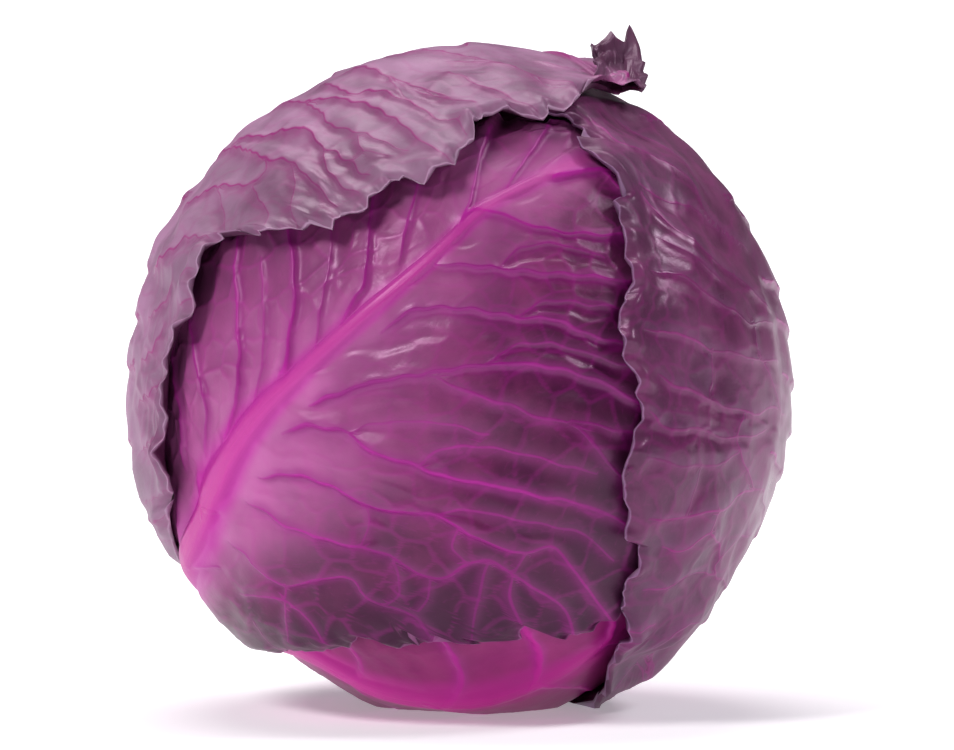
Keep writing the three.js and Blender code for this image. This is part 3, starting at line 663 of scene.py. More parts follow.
def neighbour_sum(grid):
    """For each place of a grid, its four neighbours added up, with the grid's edge going on outside."""
    padded = np.pad(grid, 1, mode="edge")
    return padded[:-2, 1:-1] + padded[2:, 1:-1] + padded[1:-1, :-2] + padded[1:-1, 2:]


def soften(values, times):
    """Evens out values given on the fine grid."""
    grid = values.reshape(FINE_ALONG + 1, -1)
    for _ in range(times):
        grid = (neighbour_sum(grid) + 2 * grid) / 6
    return grid.ravel()


def edge_cut(leaf, across, along):
    """How far the edge is cut back between its pointed tips, in millimetres."""
    facts, seed = leaf.facts, leaf.facts["seed"]
    where = leaf.edge_length(across, along) + np.where(across < 0, 0, RIGHT_EDGE_SHIFT)
    cut = 3.0 * scallops(where, 23, seed) + 2.4 * scallops(where, 8.7, seed + 1)
    cut = cut + 0.9 * scallops(where, 3.3, seed + 2)
    cut = facts["cuts"] * (cut - 2.3)
    if leaf.name in EDGES:
        side, outline = EDGES[leaf.name]
        places = np.linspace(0, leaf.last, EDGE_PLACES)
        seen_cut = outline_cut(leaf, side, places, np.array(outline, dtype=float))
        known = ~np.isnan(seen_cut)
        seen_cut = soften_line(np.interp(places, places[known], seen_cut[known]), 3)
        seen_cut = seen_cut + TOOTH_BOOST * (seen_cut - soften_line(seen_cut, 80))
        here = np.interp(along, places, seen_cut)
        trust = np.interp(along, places, soften_line(known.astype(float), 6) * known)
        trust = np.where(across * side > 0, trust, 0.0)
        teeth = 1.3 * scallops(where, 7.3, seed + 1) + 0.5 * scallops(where, 3.1, seed + 2) - 0.9
        cut = cut * (1 - trust) + (here + facts["cuts"] * teeth) * trust
    return cut * smooth_step(0.4, 1.6, along), where


def soften_line(values, times):
    """Evens out values given along a line."""
    for _ in range(times):
        padded = np.pad(values, 1, mode="edge")
        values = (padded[:-2] + values + padded[2:]) / 3
    return values


def outline_cut(leaf, side, places, outline):
    """How far back from the net's edge the outline seen from the front lies, or nan where none is seen."""
    ends = []
    for share in (0.92, 1.0):
        directions, _ = leaf.places(np.full_like(places, side * share), places)
        x, y, z = directions.T * leaf.facts["edge_at"]
        cos, sin = math.cos(VIEW_PITCH), math.sin(VIEW_PITCH)
        ends.append(np.column_stack((x, z * cos + y * sin, y * cos - z * sin)))
    start, step = ends[0][:, None, :2], (ends[1] - ends[0])[:, None, :2]
    corner, stride = outline[None, :-1], np.diff(outline, axis=0)[None]
    cross = step[..., 0] * stride[..., 1] - step[..., 1] * stride[..., 0]
    gap = corner - start
    with np.errstate(divide="ignore", invalid="ignore"):
        reach = (gap[..., 0] * stride[..., 1] - gap[..., 1] * stride[..., 0]) / cross
        along = (gap[..., 0] * step[..., 1] - gap[..., 1] * step[..., 0]) / cross
    back = (1 - reach) * np.linalg.norm(step, axis=2)
    close = (along >= 0) & (along <= 1) & (np.abs(back) < OUTLINE_REACH)
    missed = ~close | (ends[1][:, None, 2] > 0)
    back = np.where(missed, np.nan, back)
    best = np.nanargmin(np.where(missed, 99, np.abs(back)), axis=1)
    return back[np.arange(len(places)), best]


class Sheet:
    """The places of a leaf's fine grid once its edge is cut, with what is known of each, in millimetres."""

    def __init__(self, leaf):
        self.leaf, self.facts, self.seed = leaf, leaf.facts, leaf.facts["seed"]
        across, along = fine_grid(leaf)
        self.half = leaf.half_width(across, along)
        self.from_edge = (1 - np.abs(across)) * self.half
        cut, self.where = edge_cut(leaf, across, along)
        across = across * (1 - np.clip(cut / self.half, -0.12, 0.2) * np.abs(across) ** 5)
        tip = scallops(across * self.half, 4.7, self.seed + 3)
        tip = tip + 0.3 * scallops(across * self.half, 1.9, self.seed + 4)
        along = along - 0.25 * tip * smooth_step(leaf.last - 1, leaf.last, along)
        self.across, self.along, self.share = across, along, np.abs(across)
        self.directions, net_radius = leaf.places(across, along)
        self.curl = smooth_step(CURL_START, CURL_END, net_radius)
        self.points = self.directions * HEAD_RADIUS
        self.measure_veins()

    def measure_veins(self):
        """Distances to the rib, the side veins and both nets, and how strong they are."""
        leaf, seed, points = self.leaf, self.seed, self.points
        self.vein_far, self.vein_power, self.vein_up = Veins(leaf).near(wander(points, 0.35, 7, seed))
        self.net_far = near_net(wander(points, 0.9, 9, seed + 1), net_seeds(leaf, NET_SPACING))
        self.fine_far = near_net(wander(points, 0.5, 4, seed + 2), net_seeds(leaf, FINE_NET_SPACING))
        self.taper = self.along / leaf.last
        rib_width = RIB_WIDTH_BASE + (RIB_WIDTH_TIP - RIB_WIDTH_BASE) * self.taper
        self.rib_far = self.share * self.half / rib_width
        self.outward = smooth_step(0.05, 0.5, self.share)
        self.before_tip = 1 - smooth_step(leaf.last - 0.8, leaf.last, self.along)
        self.power = soften(self.vein_power, 6)
        self.high = 0.5 + 0.5 * np.tanh(self.vein_up / 0.75)

    def rib_rise(self):
        profile = np.exp(-((self.rib_far / 0.85) ** 4))
        return self.facts["rib"] * (1 - 0.75 * self.taper) * profile

    def vein_rise(self):
        """Each side vein is a low ridge at the foot of a ledge, and the blade sinks away from it."""
        ridge = np.exp(-((self.vein_far / (0.45 + 0.6 * self.power)) ** 2))
        sink = np.exp(-self.vein_far / 2.6)
        ledge = soften(0.5 + 0.5 * sink * (2 * self.high - 1), 5)
        return self.facts["vein"] * (0.3 + self.power) * (0.3 * ridge + 0.85 * ledge) * self.before_tip

    def net_rise(self):
        crisp = self.outward * (1 - 0.6 * self.taper) * self.before_tip
        line = 0.5 * np.exp(-((self.net_far / 0.7) ** 2)) + 0.7 * np.exp(-self.net_far / 2.2)
        fine_line = 0.03 * np.exp(-((self.fine_far / 0.5) ** 2)) * crisp
        return self.facts["net"] * line * crisp, fine_line

    def rise(self, relief):
        """How far the outer face stands above a plain blade."""
        net_rise, fine_rise = self.net_rise()
        rise = (np.maximum(self.rib_rise(), self.vein_rise()) + net_rise + fine_rise) * relief
        moved = wander(self.points, self.facts["pucker"], 19, self.seed + 3)
        pucker = (moved - self.points).sum(axis=1) * self.outward
        start = smooth_step(0, 0.8, self.along)
        thick = 0.1 + 0.9 * smooth_step(0, 4.5, self.from_edge)
        return soften(np.maximum(rise + 1 + pucker * self.before_tip, 0) * start * thick, 1)

    def ruffle(self, strength):
        """How far the waved edge stands out, rolled out at its very rim."""
        near_edge = smooth_step(16, 0, self.from_edge)
        swell = 1.2 + 1.3 * waves(self.where, (24, 15, 9.5), self.seed + 6)
        crimp = self.facts["crimp"] * waves(self.where, (8.3, 5.1), self.seed + 7)
        crimp = crimp * smooth_step(6, 0, self.from_edge)
        rolled = 0.9 * self.facts["crimp"] * smooth_step(3.5, 0, self.from_edge)
        rolled = rolled * (0.6 + 0.4 * waves(self.where, (17, 11), self.seed + 9))
        waved = self.facts["ruffle"] * strength * (swell * near_edge**1.5 + crimp + rolled)
        return waved * smooth_step(0.4, 1.6, self.along)

    def tissue(self):
        """What the colours of the skin follow."""
        side_in_light = self.across * self.facts["shaded_side"] < 0
        curled = 8 * self.curl
        base = 1 - smooth_step(0.0, 1.0, self.share * np.where(side_in_light, 0.8, 1.6))
        # Painted shade: a darker, deeper-coloured strip on the low side of each vein ledge, where the blade
        # turns down from the light
        ledge_shade = np.exp(-self.vein_far / 1.5) * (1 - self.high) * (0.35 + 0.65 * self.power)
        return {
            "rib_far": self.rib_far + 2 * smooth_step(0.6, 0, self.along) + curled,
            "vein_far": self.vein_far + 6 * (1 - self.before_tip) + curled,
            "vein_up": np.clip(self.vein_up, -4, 4),
            "vein_power": soften(self.vein_power, 2),
            "net_far": np.minimum(self.net_far, self.fine_far + 0.45),
            "ledge_shade": ledge_shade * self.before_tip,
            # Painted highlight: a pale strip on the high side of each vein ledge
            "ledge_highlight": np.exp(-self.vein_far / 1.3) * self.high * self.before_tip,
            "streak_x": self.across * self.half,
            "streak_y": self.leaf.edge_length(self.across, self.along),
            "outward": self.outward * (1 - 0.5 * self.taper),
            "base": base * (1 - 0.6 * self.taper),
            "old": 1 - 0.75 * self.taper,
            "edge_far": self.from_edge,
            # Painted shade towards the leaf's edges, strongest on the shaded side, where the edges of the
            # leaves over it shade it; partly darker tissue there
            "margin_shade": smooth_step(0.4, 0.95, self.share) * np.where(side_in_light, 0.3, 1.0),
        }


def grow_leaf(name):
    """Lays one leaf on the head, with its veins and edge."""
    leaf = Leaf(name)
    sheet = Sheet(leaf)
    shape = bpy.context.scene.cabbage_shape
    rise = sheet.rise(shape.relief)
    lift = Lift(leaf).at(sheet.across, sheet.along) + sheet.ruffle(shape.ruffle)
    blade = shape.blade / MM * (0.6 + 0.4 * smooth_step(0, 2.5, sheet.from_edge))

    piece = flat_pattern(name)
    flat = mesh_points(piece)
    outer = flat[:, 2] > -PATTERN_THICKNESS / 2
    column = np.rint((flat[:, 0] + 1) / 2 * FINE_ACROSS).astype(int)
    row = np.rint((flat[:, 1] + 1) / 2 * FINE_ALONG).astype(int)
    spot = row * (FINE_ACROSS + 1) + column
    radius = lift[spot] + np.where(outer, blade[spot] + rise[spot], 0)
    laid = MIDDLE + sheet.directions[spot] * radius[:, None]
    lowest = np.where(outer, 0.0, shape.blade / MM) if name == "leaf_under" else FLOOR_GAP
    laid[:, 2] = np.maximum(laid[:, 2], lowest)
    set_mesh_points(piece, laid * MM)

    for label, values in sheet.tissue().items():
        add_attribute(piece, label, values[spot])
    # Painted shade: the inner face and the curled-off tip are marked for the dark shade colour, for the
    # shade they lie in
    add_attribute(piece, "inside", np.where(outer, sheet.curl[spot], 1.0))
    finish_piece(piece, name)
    return piece


def finish_piece(piece, node):
    """Shades a piece smoothly, turns its faces outwards and puts it in its node's place."""
    only(piece)
    bpy.ops.object.shade_smooth_by_angle(angle=math.radians(60))
    if signed_volume(piece) < 0:
        bpy.ops.object.mode_set(mode="EDIT")
        bpy.ops.mesh.select_all(action="SELECT")
        bpy.ops.mesh.flip_normals()
        bpy.ops.object.mode_set(mode="OBJECT")
    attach(piece, "root")
    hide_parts(node)


def signed_volume(piece):
    """The volume inside a closed piece, below zero where its faces point inwards."""
    piece.data.calc_loop_triangles()
    points = mesh_points(piece)
    corners = np.empty(len(piece.data.loop_triangles) * 3, dtype=np.int32)
    piece.data.loop_triangles.foreach_get("vertices", corners)
    a, b, c = (points[corners.reshape(-1, 3)[:, i]] for i in range(3))
    return float((a * np.cross(b, c)).sum()) / 6


# Finishes

def new_group(name, inputs, outputs):
    group = bpy.data.node_groups.new(name, "ShaderNodeTree")
    for label, kind, value in inputs:
        socket = group.interface.new_socket(label, in_out="INPUT", socket_type=kind)
        socket.default_value = value
    for label, kind in outputs:
        group.interface.new_socket(label, in_out="OUTPUT", socket_type=kind)
    return group, group.nodes.new("NodeGroupInput"), group.nodes.new("NodeGroupOutput")


def attribute_node(group, name):
    node = group.nodes.new("ShaderNodeAttribute")
    node.attribute_name = name
    return node.outputs["Fac"]


def noise_node(group, scale, detail, where):
    node = group.nodes.new("ShaderNodeTexNoise")
    node.inputs["Scale"].default_value = scale
    node.inputs["Detail"].default_value = detail
    node.inputs["Roughness"].default_value = 0.55
    group.links.new(where, node.inputs["Vector"])
    return node.outputs["Fac"]


def ramp_node(group, value, low, high):
    """From 0 at low to 1 at high, as smooth_step."""
    node = group.nodes.new("ShaderNodeMapRange")
    node.interpolation_type = "SMOOTHSTEP"
    node.inputs["From Min"].default_value = low
    node.inputs["From Max"].default_value = high
    group.links.new(value, node.inputs["Value"])
    return node.outputs["Result"]


def math_node(group, operation, first, second):
    node = group.nodes.new("ShaderNodeMath")
    node.operation = operation
    for socket, value in zip(node.inputs, (first, second)):
        if isinstance(value, (int, float)):
            socket.default_value = value
        else:
            group.links.new(value, socket)
    return node.outputs["Value"]


def mix_node(group, share, first, second):
    node = group.nodes.new("ShaderNodeMix")
    node.data_type = "RGBA"
    group.links.new(share, node.inputs["Factor"])
    for socket, value in ((node.inputs["A"], first), (node.inputs["B"], second)):
        if isinstance(value, tuple):
            socket.default_value = (*value, 1)
        else:
            group.links.new(value, socket)
    return node.outputs["Result"]


# The inputs of the leaf tissue, with plain values for its amounts, and the scales of its noises
LEAF_COLOURS = ("Blade", "Blade dark", "Base", "Vein", "Rib", "Flush and ledge shade", "Bloom and highlight", "Inside")
LEAF_AMOUNTS = {"Waxy bloom amount": 0.3, "Pigment flush amount": 0.5, "Net amount": 0.5, "Margin shade amount": 0.5,
                "Vein width": 1.0, "Roughness": 0.3}
CLOUD_SCALE = 24
MOTTLE_SCALE = 85
GRAIN_SCALE = 1100
STREAK_SCALE = 1.6
STREAK_STRETCH = 0.05


def leaf_tissue():
    """Colour, roughness and fine height of a red cabbage leaf, from its distances to the veins; the colour
    holds painted shade and highlights.
    """
    colour, number = "NodeSocketColor", "NodeSocketFloat"
    group, given, out = new_group(
        "leaf_tissue",
        [(label, colour, (1, 1, 1, 1)) for label in LEAF_COLOURS]
        + [(label, number, value) for label, value in LEAF_AMOUNTS.items()],
        [("Color", colour), ("Roughness", number), ("Height", number)],
    )
    given = given.outputs

    def fact(name):
        return attribute_node(group, name)

    def times(first, second):
        return math_node(group, "MULTIPLY", first, second)

    def plus(first, second):
        return math_node(group, "ADD", first, second)

    def within(value, low, high):
        return math_node(group, "SUBTRACT", 1.0, ramp_node(group, value, low, high))

    # The noises: soft clouds, mottling, fine grain and streaks along the rib
    place = group.nodes.new("ShaderNodeTexCoord").outputs["Object"]
    mottle = ramp_node(group, noise_node(group, MOTTLE_SCALE, 5, place), 0.36, 0.68)
    cloud = ramp_node(group, noise_node(group, CLOUD_SCALE, 4, place), 0.38, 0.64)
    grain = noise_node(group, GRAIN_SCALE, 3, place)
    along_rib = group.nodes.new("ShaderNodeCombineXYZ")
    group.links.new(fact("streak_x"), along_rib.inputs["X"])
    group.links.new(times(fact("streak_y"), STREAK_STRETCH), along_rib.inputs["Y"])
    streaks = ramp_node(group, noise_node(group, STREAK_SCALE, 3, along_rib.outputs["Vector"]), 0.35, 0.65)

    # Where each colour lies
    power, vein_far, rib_far, old = fact("vein_power"), fact("vein_far"), fact("rib_far"), fact("old")
    # Painted shade towards the leaf's edges, laid in the dark shade colour
    margin_shade = times(fact("margin_shade"), given["Margin shade amount"])
    base = times(fact("base"), plus(times(cloud, 0.35), 0.65))
    close = times(within(vein_far, 0.0, 2.9), times(power, 0.8))
    flush = times(times(close, given["Pigment flush amount"]), plus(times(cloud, 0.8), 0.5))
    flush = math_node(group, "MINIMUM", flush, 0.95)
    bloom = plus(times(cloud, 0.4), times(mottle, 0.15))
    bloom = times(plus(bloom, 0.38), given["Waxy bloom amount"])
    net = times(within(fact("net_far"), 0.1, 0.9), given["Net amount"])
    net = times(net, plus(times(fact("outward"), 0.6), 0.3))
    width = times(plus(times(power, 0.34), 0.3), given["Vein width"])
    reach = math_node(group, "DIVIDE", math_node(group, "ABSOLUTE", fact("vein_up"), 0.0), width)
    vein = times(within(reach, 0.3, 1.3), plus(times(power, 0.75), 0.2))
    vein = times(vein, within(vein_far, 0.9, 1.8))
    deep = mix_node(group, times(cloud, 0.75), given["Flush and ledge shade"], given["Vein"])
    rib = times(within(rib_far, 0.1, 1.05), plus(times(streaks, 0.3), 0.6))
    rib = times(rib, old)

    # The colours, each laid over the ones before it
    shade = mix_node(group, mottle, given["Blade dark"], given["Blade"])
    layers = (
        (margin_shade, given["Inside"]),
        (base, given["Base"]),
        (flush, given["Flush and ledge shade"]),
        (bloom, given["Bloom and highlight"]),
        # Painted highlight on the high side of each vein ledge
        (times(fact("ledge_highlight"), 0.14), given["Bloom and highlight"]),
        # Painted shade below each vein ledge
        (fact("ledge_shade"), given["Flush and ledge shade"]),
        (net, given["Vein"]),
        (vein, deep),
        (times(within(rib_far, 0.8, 1.9), old), given["Vein"]),
        (rib, given["Rib"]),
        # Painted highlight: a pale line along the rim of each leaf
        (times(within(fact("edge_far"), 0.0, 0.7), 0.35), given["Bloom and highlight"]),
        # Painted shade on the inner face and the curled tip
        (times(fact("inside"), 0.8), given["Inside"]),
    )
    for share, layer in layers:
        shade = mix_node(group, share, shade, layer)
    group.links.new(shade, out.inputs["Color"])

    rough = plus(plus(times(cloud, 0.14), times(mottle, 0.08)), given["Roughness"])
    group.links.new(rough, out.inputs["Roughness"])
    height = plus(times(grain, 0.3), plus(times(mottle, 0.5), times(vein, 0.9)))
    height = plus(height, times(times(streaks, rib), 0.4))
    group.links.new(height, out.inputs["Height"])
    return group


LEAF_FINISHES = {
    "leaf_under": {
        "Blade": "862a60", "Blade dark": "68184c", "Base": "b02484", "Vein": "c8249c",
        "Rib": "dc28a8", "Flush and ledge shade": "b01690", "Bloom and highlight": "c890b8", "Inside": "3c0e2e",
        "Waxy bloom amount": 0.02, "Pigment flush amount": 0.75, "Net amount": 0.08, "Margin shade amount": 0.15,
        "Vein width": 1.6, "Roughness": 0.3,
    },
    "leaf_back": {
        "Blade": "602a50", "Blade dark": "4a1e3e", "Base": "86406c", "Vein": "98307a",
        "Rib": "ac5490", "Flush and ledge shade": "76205e", "Bloom and highlight": "c8a4c4", "Inside": "2c0c24",
        "Waxy bloom amount": 0.16, "Pigment flush amount": 0.4, "Net amount": 0.22, "Margin shade amount": 0.4,
        "Vein width": 0.8, "Roughness": 0.32,
    },
    "leaf_front": {
        "Blade": "6a1c4e", "Blade dark": "480e36", "Base": "d070b4", "Vein": "b8189a",
        "Rib": "c43c94", "Flush and ledge shade": "8c0876", "Bloom and highlight": "cc7cba", "Inside": "280620",
        "Waxy bloom amount": 0.03, "Pigment flush amount": 0.8, "Net amount": 0.2, "Margin shade amount": 0.86,
        "Vein width": 1.0, "Roughness": 0.3,
    },
    "leaf_right": {
        "Blade": "6a2852", "Blade dark": "4c183a", "Base": "843668", "Vein": "a82488",
        "Rib": "a44486", "Flush and ledge shade": "76145e", "Bloom and highlight": "bc98c4", "Inside": "38102c",
        "Waxy bloom amount": 0.09, "Pigment flush amount": 0.35, "Net amount": 0.2, "Margin shade amount": 0.3,
        "Vein width": 0.75, "Roughness": 0.27,
    },
    "leaf_cap": {
        "Blade": "824870", "Blade dark": "643254", "Base": "a8729a", "Vein": "9c1076",
        "Rib": "ac4c94", "Flush and ledge shade": "820e64", "Bloom and highlight": "dcb8d8", "Inside": "3c0f2e",
        "Waxy bloom amount": 0.32, "Pigment flush amount": 0.45, "Net amount": 0.2, "Margin shade amount": 0.6,
        "Vein width": 0.6, "Roughness": 0.34,
    },
}


def tissue_group():
    """The one leaf tissue that all the skins share."""
    return bpy.data.node_groups.get("leaf_tissue") or leaf_tissue()


def new_material(name):
    material = bpy.data.materials.new(name)
    material.use_nodes = True
    return material, material.node_tree, material.node_tree.nodes["Principled BSDF"]


def add_bump(tree, shader, height, strength, distance):
    bump = tree.nodes.new("ShaderNodeBump")
    bump.inputs["Strength"].default_value = strength
    bump.inputs["Distance"].default_value = distance
    tree.links.new(height, bump.inputs["Height"])
    tree.links.new(bump.outputs["Normal"], shader.inputs["Normal"])


def leaf_material(name, finish, tissue):
    """The skin of a leaf, or of the heart, in the finish of one of the leaves."""
    material, tree, shader = new_material(name + "_skin")
    group = tree.nodes.new("ShaderNodeGroup")
    group.node_tree = tissue
    for label, value in LEAF_FINISHES[finish].items():
        group.inputs[label].default_value = (*hex_colour(value), 1) if isinstance(value, str) else value
    tree.links.new(group.outputs["Color"], shader.inputs["Base Color"])
    tree.links.new(group.outputs["Roughness"], shader.inputs["Roughness"])
    add_bump(tree, shader, group.outputs["Height"], strength=0.3, distance=0.4 * MM)
    shader.inputs["Subsurface Weight"].default_value = 0.05
    shader.inputs["Subsurface Radius"].default_value = (1.0, 0.25, 0.6)
    shader.inputs["Subsurface Scale"].default_value = 1.2 * MM
    shader.inputs["Specular IOR Level"].default_value = 0.4
    shader.inputs["Specular Tint"].default_value = (1.0, 0.68, 0.92, 1)
    return material


# The heart and the stalk

# The heart: its half axes across, deep and tall, how high the edge of a folded leaf stands over the
# next, how far the ball is drawn in and sunk, and its lowest place, all in millimetres, then how many
# edges there are and how far they wind between the poles
HEART_AXES = (73.5, 74.0, 77.5)
HEART_STEP = 1.2
HEART_DRAWN_IN = 0.3
HEART_SUNK = 1.5
HEART_LOWEST = 2.2
HEART_EDGES = 3
HEART_WINDING = 0.43

# What the leaf tissue reads on the heart, where no rib, net or edge is near
HEART_TISSUE = {
    "rib_far": 9.0, "net_far": 9.0, "edge_far": 9.0, "vein_up": 4.0, "vein_power": 0.3,
    "ledge_shade": 0.0, "ledge_highlight": 0.0, "streak_x": 0.0, "streak_y": 0.0, "outward": 0.5,
    "base": 0.3, "old": 0.5, "margin_shade": 0.0, "inside": 0.0,
}

# The cut stalk, in millimetres: its radius and length, and the rings cut into its ends
STALK_RADIUS = 11.2
STALK_LENGTH = 9.6
STALK_RINGS = 9
RING_WIDTH = 1.1
STALK_WORN = 0.9


def spot_frame():
    """Two directions square to the stalk's axis."""
    side = np.cross((0.0, 0.0, 1.0), STALK)
    side /= np.linalg.norm(side)
    return side, np.cross(STALK, side)


def grow_heart():
    """The folded inner leaves, as one closed ball with spiral leaf edges."""
    bpy.ops.object.select_all(action="DESELECT")
    bpy.ops.mesh.primitive_uv_sphere_add(segments=192, ring_count=96, radius=1)
    heart = bpy.context.object
    heart.name = "heart_looks"
    points = mesh_points(heart)
    polar = np.arccos(np.clip(points[:, 2], -1, 1))
    turn = np.arctan2(points[:, 1], points[:, 0])
    share = (turn / (2 * math.pi) * HEART_EDGES - HEART_WINDING * polar) % 1.0
    rise = HEART_STEP * (share - 1) * np.sin(polar) * smooth_step(1.0, 0.93, share)
    side, front = spot_frame()
    directions = np.outer(points[:, 2], STALK) + np.outer(points[:, 0], side)
    directions = directions + np.outer(points[:, 1], front)
    reach = 1 / np.linalg.norm(directions / np.array(HEART_AXES), axis=1)
    laid = MIDDLE + directions * (reach + rise - HEART_DRAWN_IN)[:, None]
    laid[:, 2] = np.maximum(laid[:, 2] - HEART_SUNK, HEART_LOWEST)
    set_mesh_points(heart, laid * MM)
    for name, value in HEART_TISSUE.items():
        add_attribute(heart, name, np.full(len(laid), value))
    add_attribute(heart, "vein_far", 60 * np.abs(share - 0.97))
    finish_piece(heart, "heart")
    return heart


def grow_stalk():
    """The cut stump: a short ribbed stem with a flat, slightly dished end."""
    low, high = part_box("stalk")
    centre = (low + high) / 2
    bpy.ops.object.select_all(action="DESELECT")
    bpy.ops.mesh.primitive_cylinder_add(vertices=96, radius=STALK_RADIUS * MM, depth=STALK_LENGTH * MM)
    stalk = bpy.context.object
    stalk.name = "stalk_looks"
    select_faces(stalk, lambda face: abs(face.normal.z) > 0.5)
    for _ in range(STALK_RINGS):
        bpy.ops.mesh.inset(thickness=RING_WIDTH * MM)
    bpy.ops.object.mode_set(mode="OBJECT")
    bevel = stalk.modifiers.new("worn_edge", "BEVEL")
    bevel.width = STALK_WORN * MM
    bevel.segments = 4
    bevel.angle_limit = math.radians(50)
    bpy.ops.object.modifier_apply(modifier=bevel.name)
    points = mesh_points(stalk) / MM
    turn = np.arctan2(points[:, 1], points[:, 0])
    reach = np.hypot(points[:, 0], points[:, 1])
    ribs = 0.25 * np.sin(11 * turn) + 0.18 * np.sin(5 * turn + 1)
    taper = 1 - 0.1 * smooth_step(-2, 5, points[:, 2])
    points[:, :2] *= (taper * (1 + 0.03 * ribs * smooth_step(4, 10, reach)))[:, None]
    points[:, 2] -= 0.6 * smooth_step(9, 2, reach) * smooth_step(3, 4.5, points[:, 2])
    stand = Vector((0, 0, 1)).rotation_difference(Vector(STALK))
    turned = np.array([stand @ Vector(point * MM) for point in points]) + np.array(centre)
    set_mesh_points(stalk, turned)
    add_attribute(stalk, "ring", reach / STALK_RADIUS)
    finish_piece(stalk, "stalk")
    return stalk


def stalk_material():
    """Pale cut flesh with fibres, turning to the colour of the leaves at its skin."""
    material, tree, shader = new_material("stalk_flesh")
    place = tree.nodes.new("ShaderNodeTexCoord").outputs["Object"]
    ring = attribute_node(tree, "ring")
    fibre = noise_node(tree, 420, 5, place)
    shade = mix_node(tree, ramp_node(tree, fibre, 0.35, 0.7), hex_colour("d9cdb8"), hex_colour("b9a58c"))
    shade = mix_node(tree, ramp_node(tree, ring, 0.74, 0.86), shade, hex_colour("b487a2"))
    shade = mix_node(tree, ramp_node(tree, ring, 0.9, 1.0), shade, hex_colour("8f5a7d"))
    tree.links.new(shade, shader.inputs["Base Color"])
    shader.inputs["Roughness"].default_value = 0.65
    add_bump(tree, shader, fibre, strength=0.5, distance=0.5 * MM)
    return material


# The stage

# The camera stands 6 m away and looks at the head at 4 pixels of the photograph to a millimetre, a
# little beside and above the head's middle
CAMERA_DISTANCE = 6.0
SENSOR_WIDTH = 36
PHOTO_WIDTH = 954
PIXELS_PER_MM = 4
FRAME_WIDTH = PHOTO_WIDTH / PIXELS_PER_MM * MM
VIEW_UP = Vector((0, math.sin(VIEW_PITCH), math.cos(VIEW_PITCH)))
AIM = Vector((2.25 * MM, 0, HEAD_HEIGHT * MM)) + VIEW_UP * 2.5 * MM

# The suns, with their angles and spreads in degrees
SUNS = {
    "top": dict(azimuth=-165, elevation=66, strength=1.8, spread=36, colour=(1.0, 0.99, 0.98)),
    "front": dict(azimuth=-50, elevation=46, strength=1.85, spread=18, colour=(1.0, 0.98, 0.98)),
    "side": dict(azimuth=95, elevation=46, strength=1.2, spread=14, colour=(0.98, 0.97, 1.0)),
}


def make_camera():
    camera = bpy.data.cameras.new("camera")
    camera.sensor_width = SENSOR_WIDTH
    camera.lens = SENSOR_WIDTH * CAMERA_DISTANCE / FRAME_WIDTH
    camera.clip_end = 100
    holder = bpy.data.objects.new("camera", camera)
    forward = Vector((0, math.cos(VIEW_PITCH), -math.sin(VIEW_PITCH)))
    holder.location = AIM - forward * CAMERA_DISTANCE
    holder.rotation_euler = forward.to_track_quat("-Z", "Y").to_euler()
    bpy.context.scene.collection.objects.link(holder)
    bpy.context.scene.camera = holder


def make_floor():
    bpy.ops.object.select_all(action="DESELECT")
    bpy.ops.mesh.primitive_plane_add(size=60)
    floor = bpy.context.object
    floor.name = "floor"
    material, _, shader = new_material("pale_floor")
    shader.inputs["Base Color"].default_value = (0.92, 0.91, 0.93, 1)
    shader.inputs["Roughness"].default_value = 0.6
    shader.inputs["Specular IOR Level"].default_value = 0.2
    shader.inputs["Emission Color"].default_value = (0.97, 0.95, 1.0, 1)
    shader.inputs["Emission Strength"].default_value = 0.3
    floor.data.materials.append(material)


def make_sun(name, azimuth, elevation, strength, spread, colour):
    light = bpy.data.lights.new(name, "SUN")
    light.energy = strength
    light.angle = math.radians(spread)
    light.color = colour
    holder = bpy.data.objects.new(name, light)
    a, e = math.radians(azimuth), math.radians(elevation)
    source = Vector((math.sin(a) * math.cos(e), -math.cos(a) * math.cos(e), math.sin(e)))
    holder.rotation_euler = (-source).to_track_quat("-Z", "Y").to_euler()
    bpy.context.scene.collection.objects.link(holder)


def make_world():
    world = bpy.data.worlds.new("studio")
    world.use_nodes = True
    background = world.node_tree.nodes["Background"]
    background.inputs["Color"].default_value = (0.95, 0.96, 1.0, 1)
    background.inputs["Strength"].default_value = 0.12
    bpy.context.scene.world = world


# The add-on

class CabbageShape(bpy.types.PropertyGroup):
    """Sizes of the leaves that a user may change"""

    blade: FloatProperty(name="Blade", description="Thickness of a leaf between its veins",
                         default=1.0 * MM, unit="LENGTH")
    relief: FloatProperty(name="Relief", description="How high the veins stand, against the real ones",
                          default=1.0, subtype="FACTOR")
    ruffle: FloatProperty(name="Ruffle", description="How strongly the leaf edges wave",
                          default=1.0, subtype="FACTOR")


class CABBAGE_OT_heart(bpy.types.Operator):
    """Grow the dense heart of folded leaves"""

    bl_idname = "cabbage.heart"
    bl_label = "Heart"

    def execute(self, context):
        grow_heart().data.materials.append(leaf_material("heart", "leaf_under", tissue_group()))
        return {"FINISHED"}


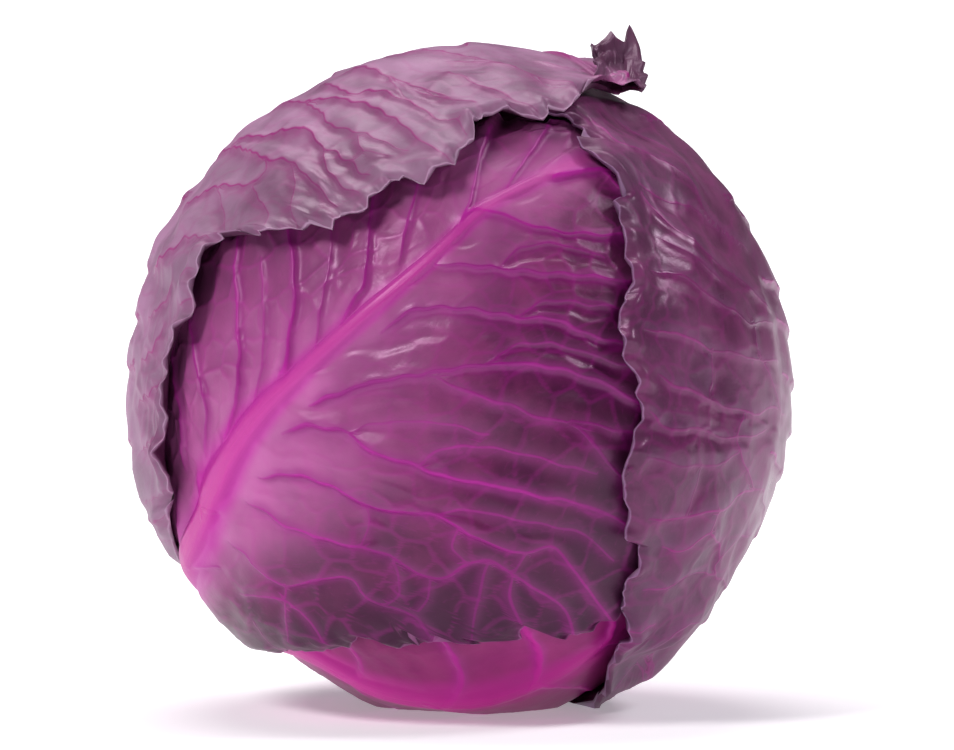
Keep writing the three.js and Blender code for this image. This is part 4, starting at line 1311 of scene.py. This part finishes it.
class CABBAGE_OT_stalk(bpy.types.Operator):
    """Grow the cut stalk"""

    bl_idname = "cabbage.stalk"
    bl_label = "Stalk"

    def execute(self, context):
        grow_stalk().data.materials.append(stalk_material())
        return {"FINISHED"}


class CABBAGE_OT_leaves(bpy.types.Operator):
    """Lay the outer leaves round the head"""

    bl_idname = "cabbage.leaves"
    bl_label = "Outer leaves"

    def execute(self, context):
        for name in LEAVES:
            grow_leaf(name).data.materials.append(leaf_material(name, name, tissue_group()))
        return {"FINISHED"}


class CABBAGE_OT_stage(bpy.types.Operator):
    """Set up the floor, the soft light and the camera"""

    bl_idname = "cabbage.stage"
    bl_label = "Stage"

    def execute(self, context):
        make_floor()
        make_world()
        for name, facts in SUNS.items():
            make_sun(name, **facts)
        make_camera()
        context.scene.view_settings.view_transform = "Standard"
        return {"FINISHED"}


class CABBAGE_PT_panel(bpy.types.Panel):
    """The cabbage's sizes and steps"""

    bl_idname = "CABBAGE_PT_panel"
    bl_label = "Cabbage"
    bl_space_type = "VIEW_3D"
    bl_region_type = "UI"
    bl_category = "Cabbage"

    def draw(self, context):
        shape = context.scene.cabbage_shape
        for name in ("blade", "relief", "ruffle"):
            self.layout.prop(shape, name)
        for operator in (CABBAGE_OT_heart, CABBAGE_OT_stalk, CABBAGE_OT_leaves, CABBAGE_OT_stage):
            self.layout.operator(operator.bl_idname)


CLASSES = (
    CabbageShape,
    CABBAGE_OT_heart,
    CABBAGE_OT_stalk,
    CABBAGE_OT_leaves,
    CABBAGE_OT_stage,
    CABBAGE_PT_panel,
)


def register():
    for cls in CLASSES:
        bpy.utils.register_class(cls)
    bpy.types.Scene.cabbage_shape = PointerProperty(type=CabbageShape)


def unregister():
    del bpy.types.Scene.cabbage_shape
    for cls in reversed(CLASSES):
        bpy.utils.unregister_class(cls)


def main():
    register()
    bpy.ops.cabbage.heart()
    bpy.ops.cabbage.stalk()
    bpy.ops.cabbage.leaves()
    bpy.ops.cabbage.stage()


if __name__ == "__main__":
    main()
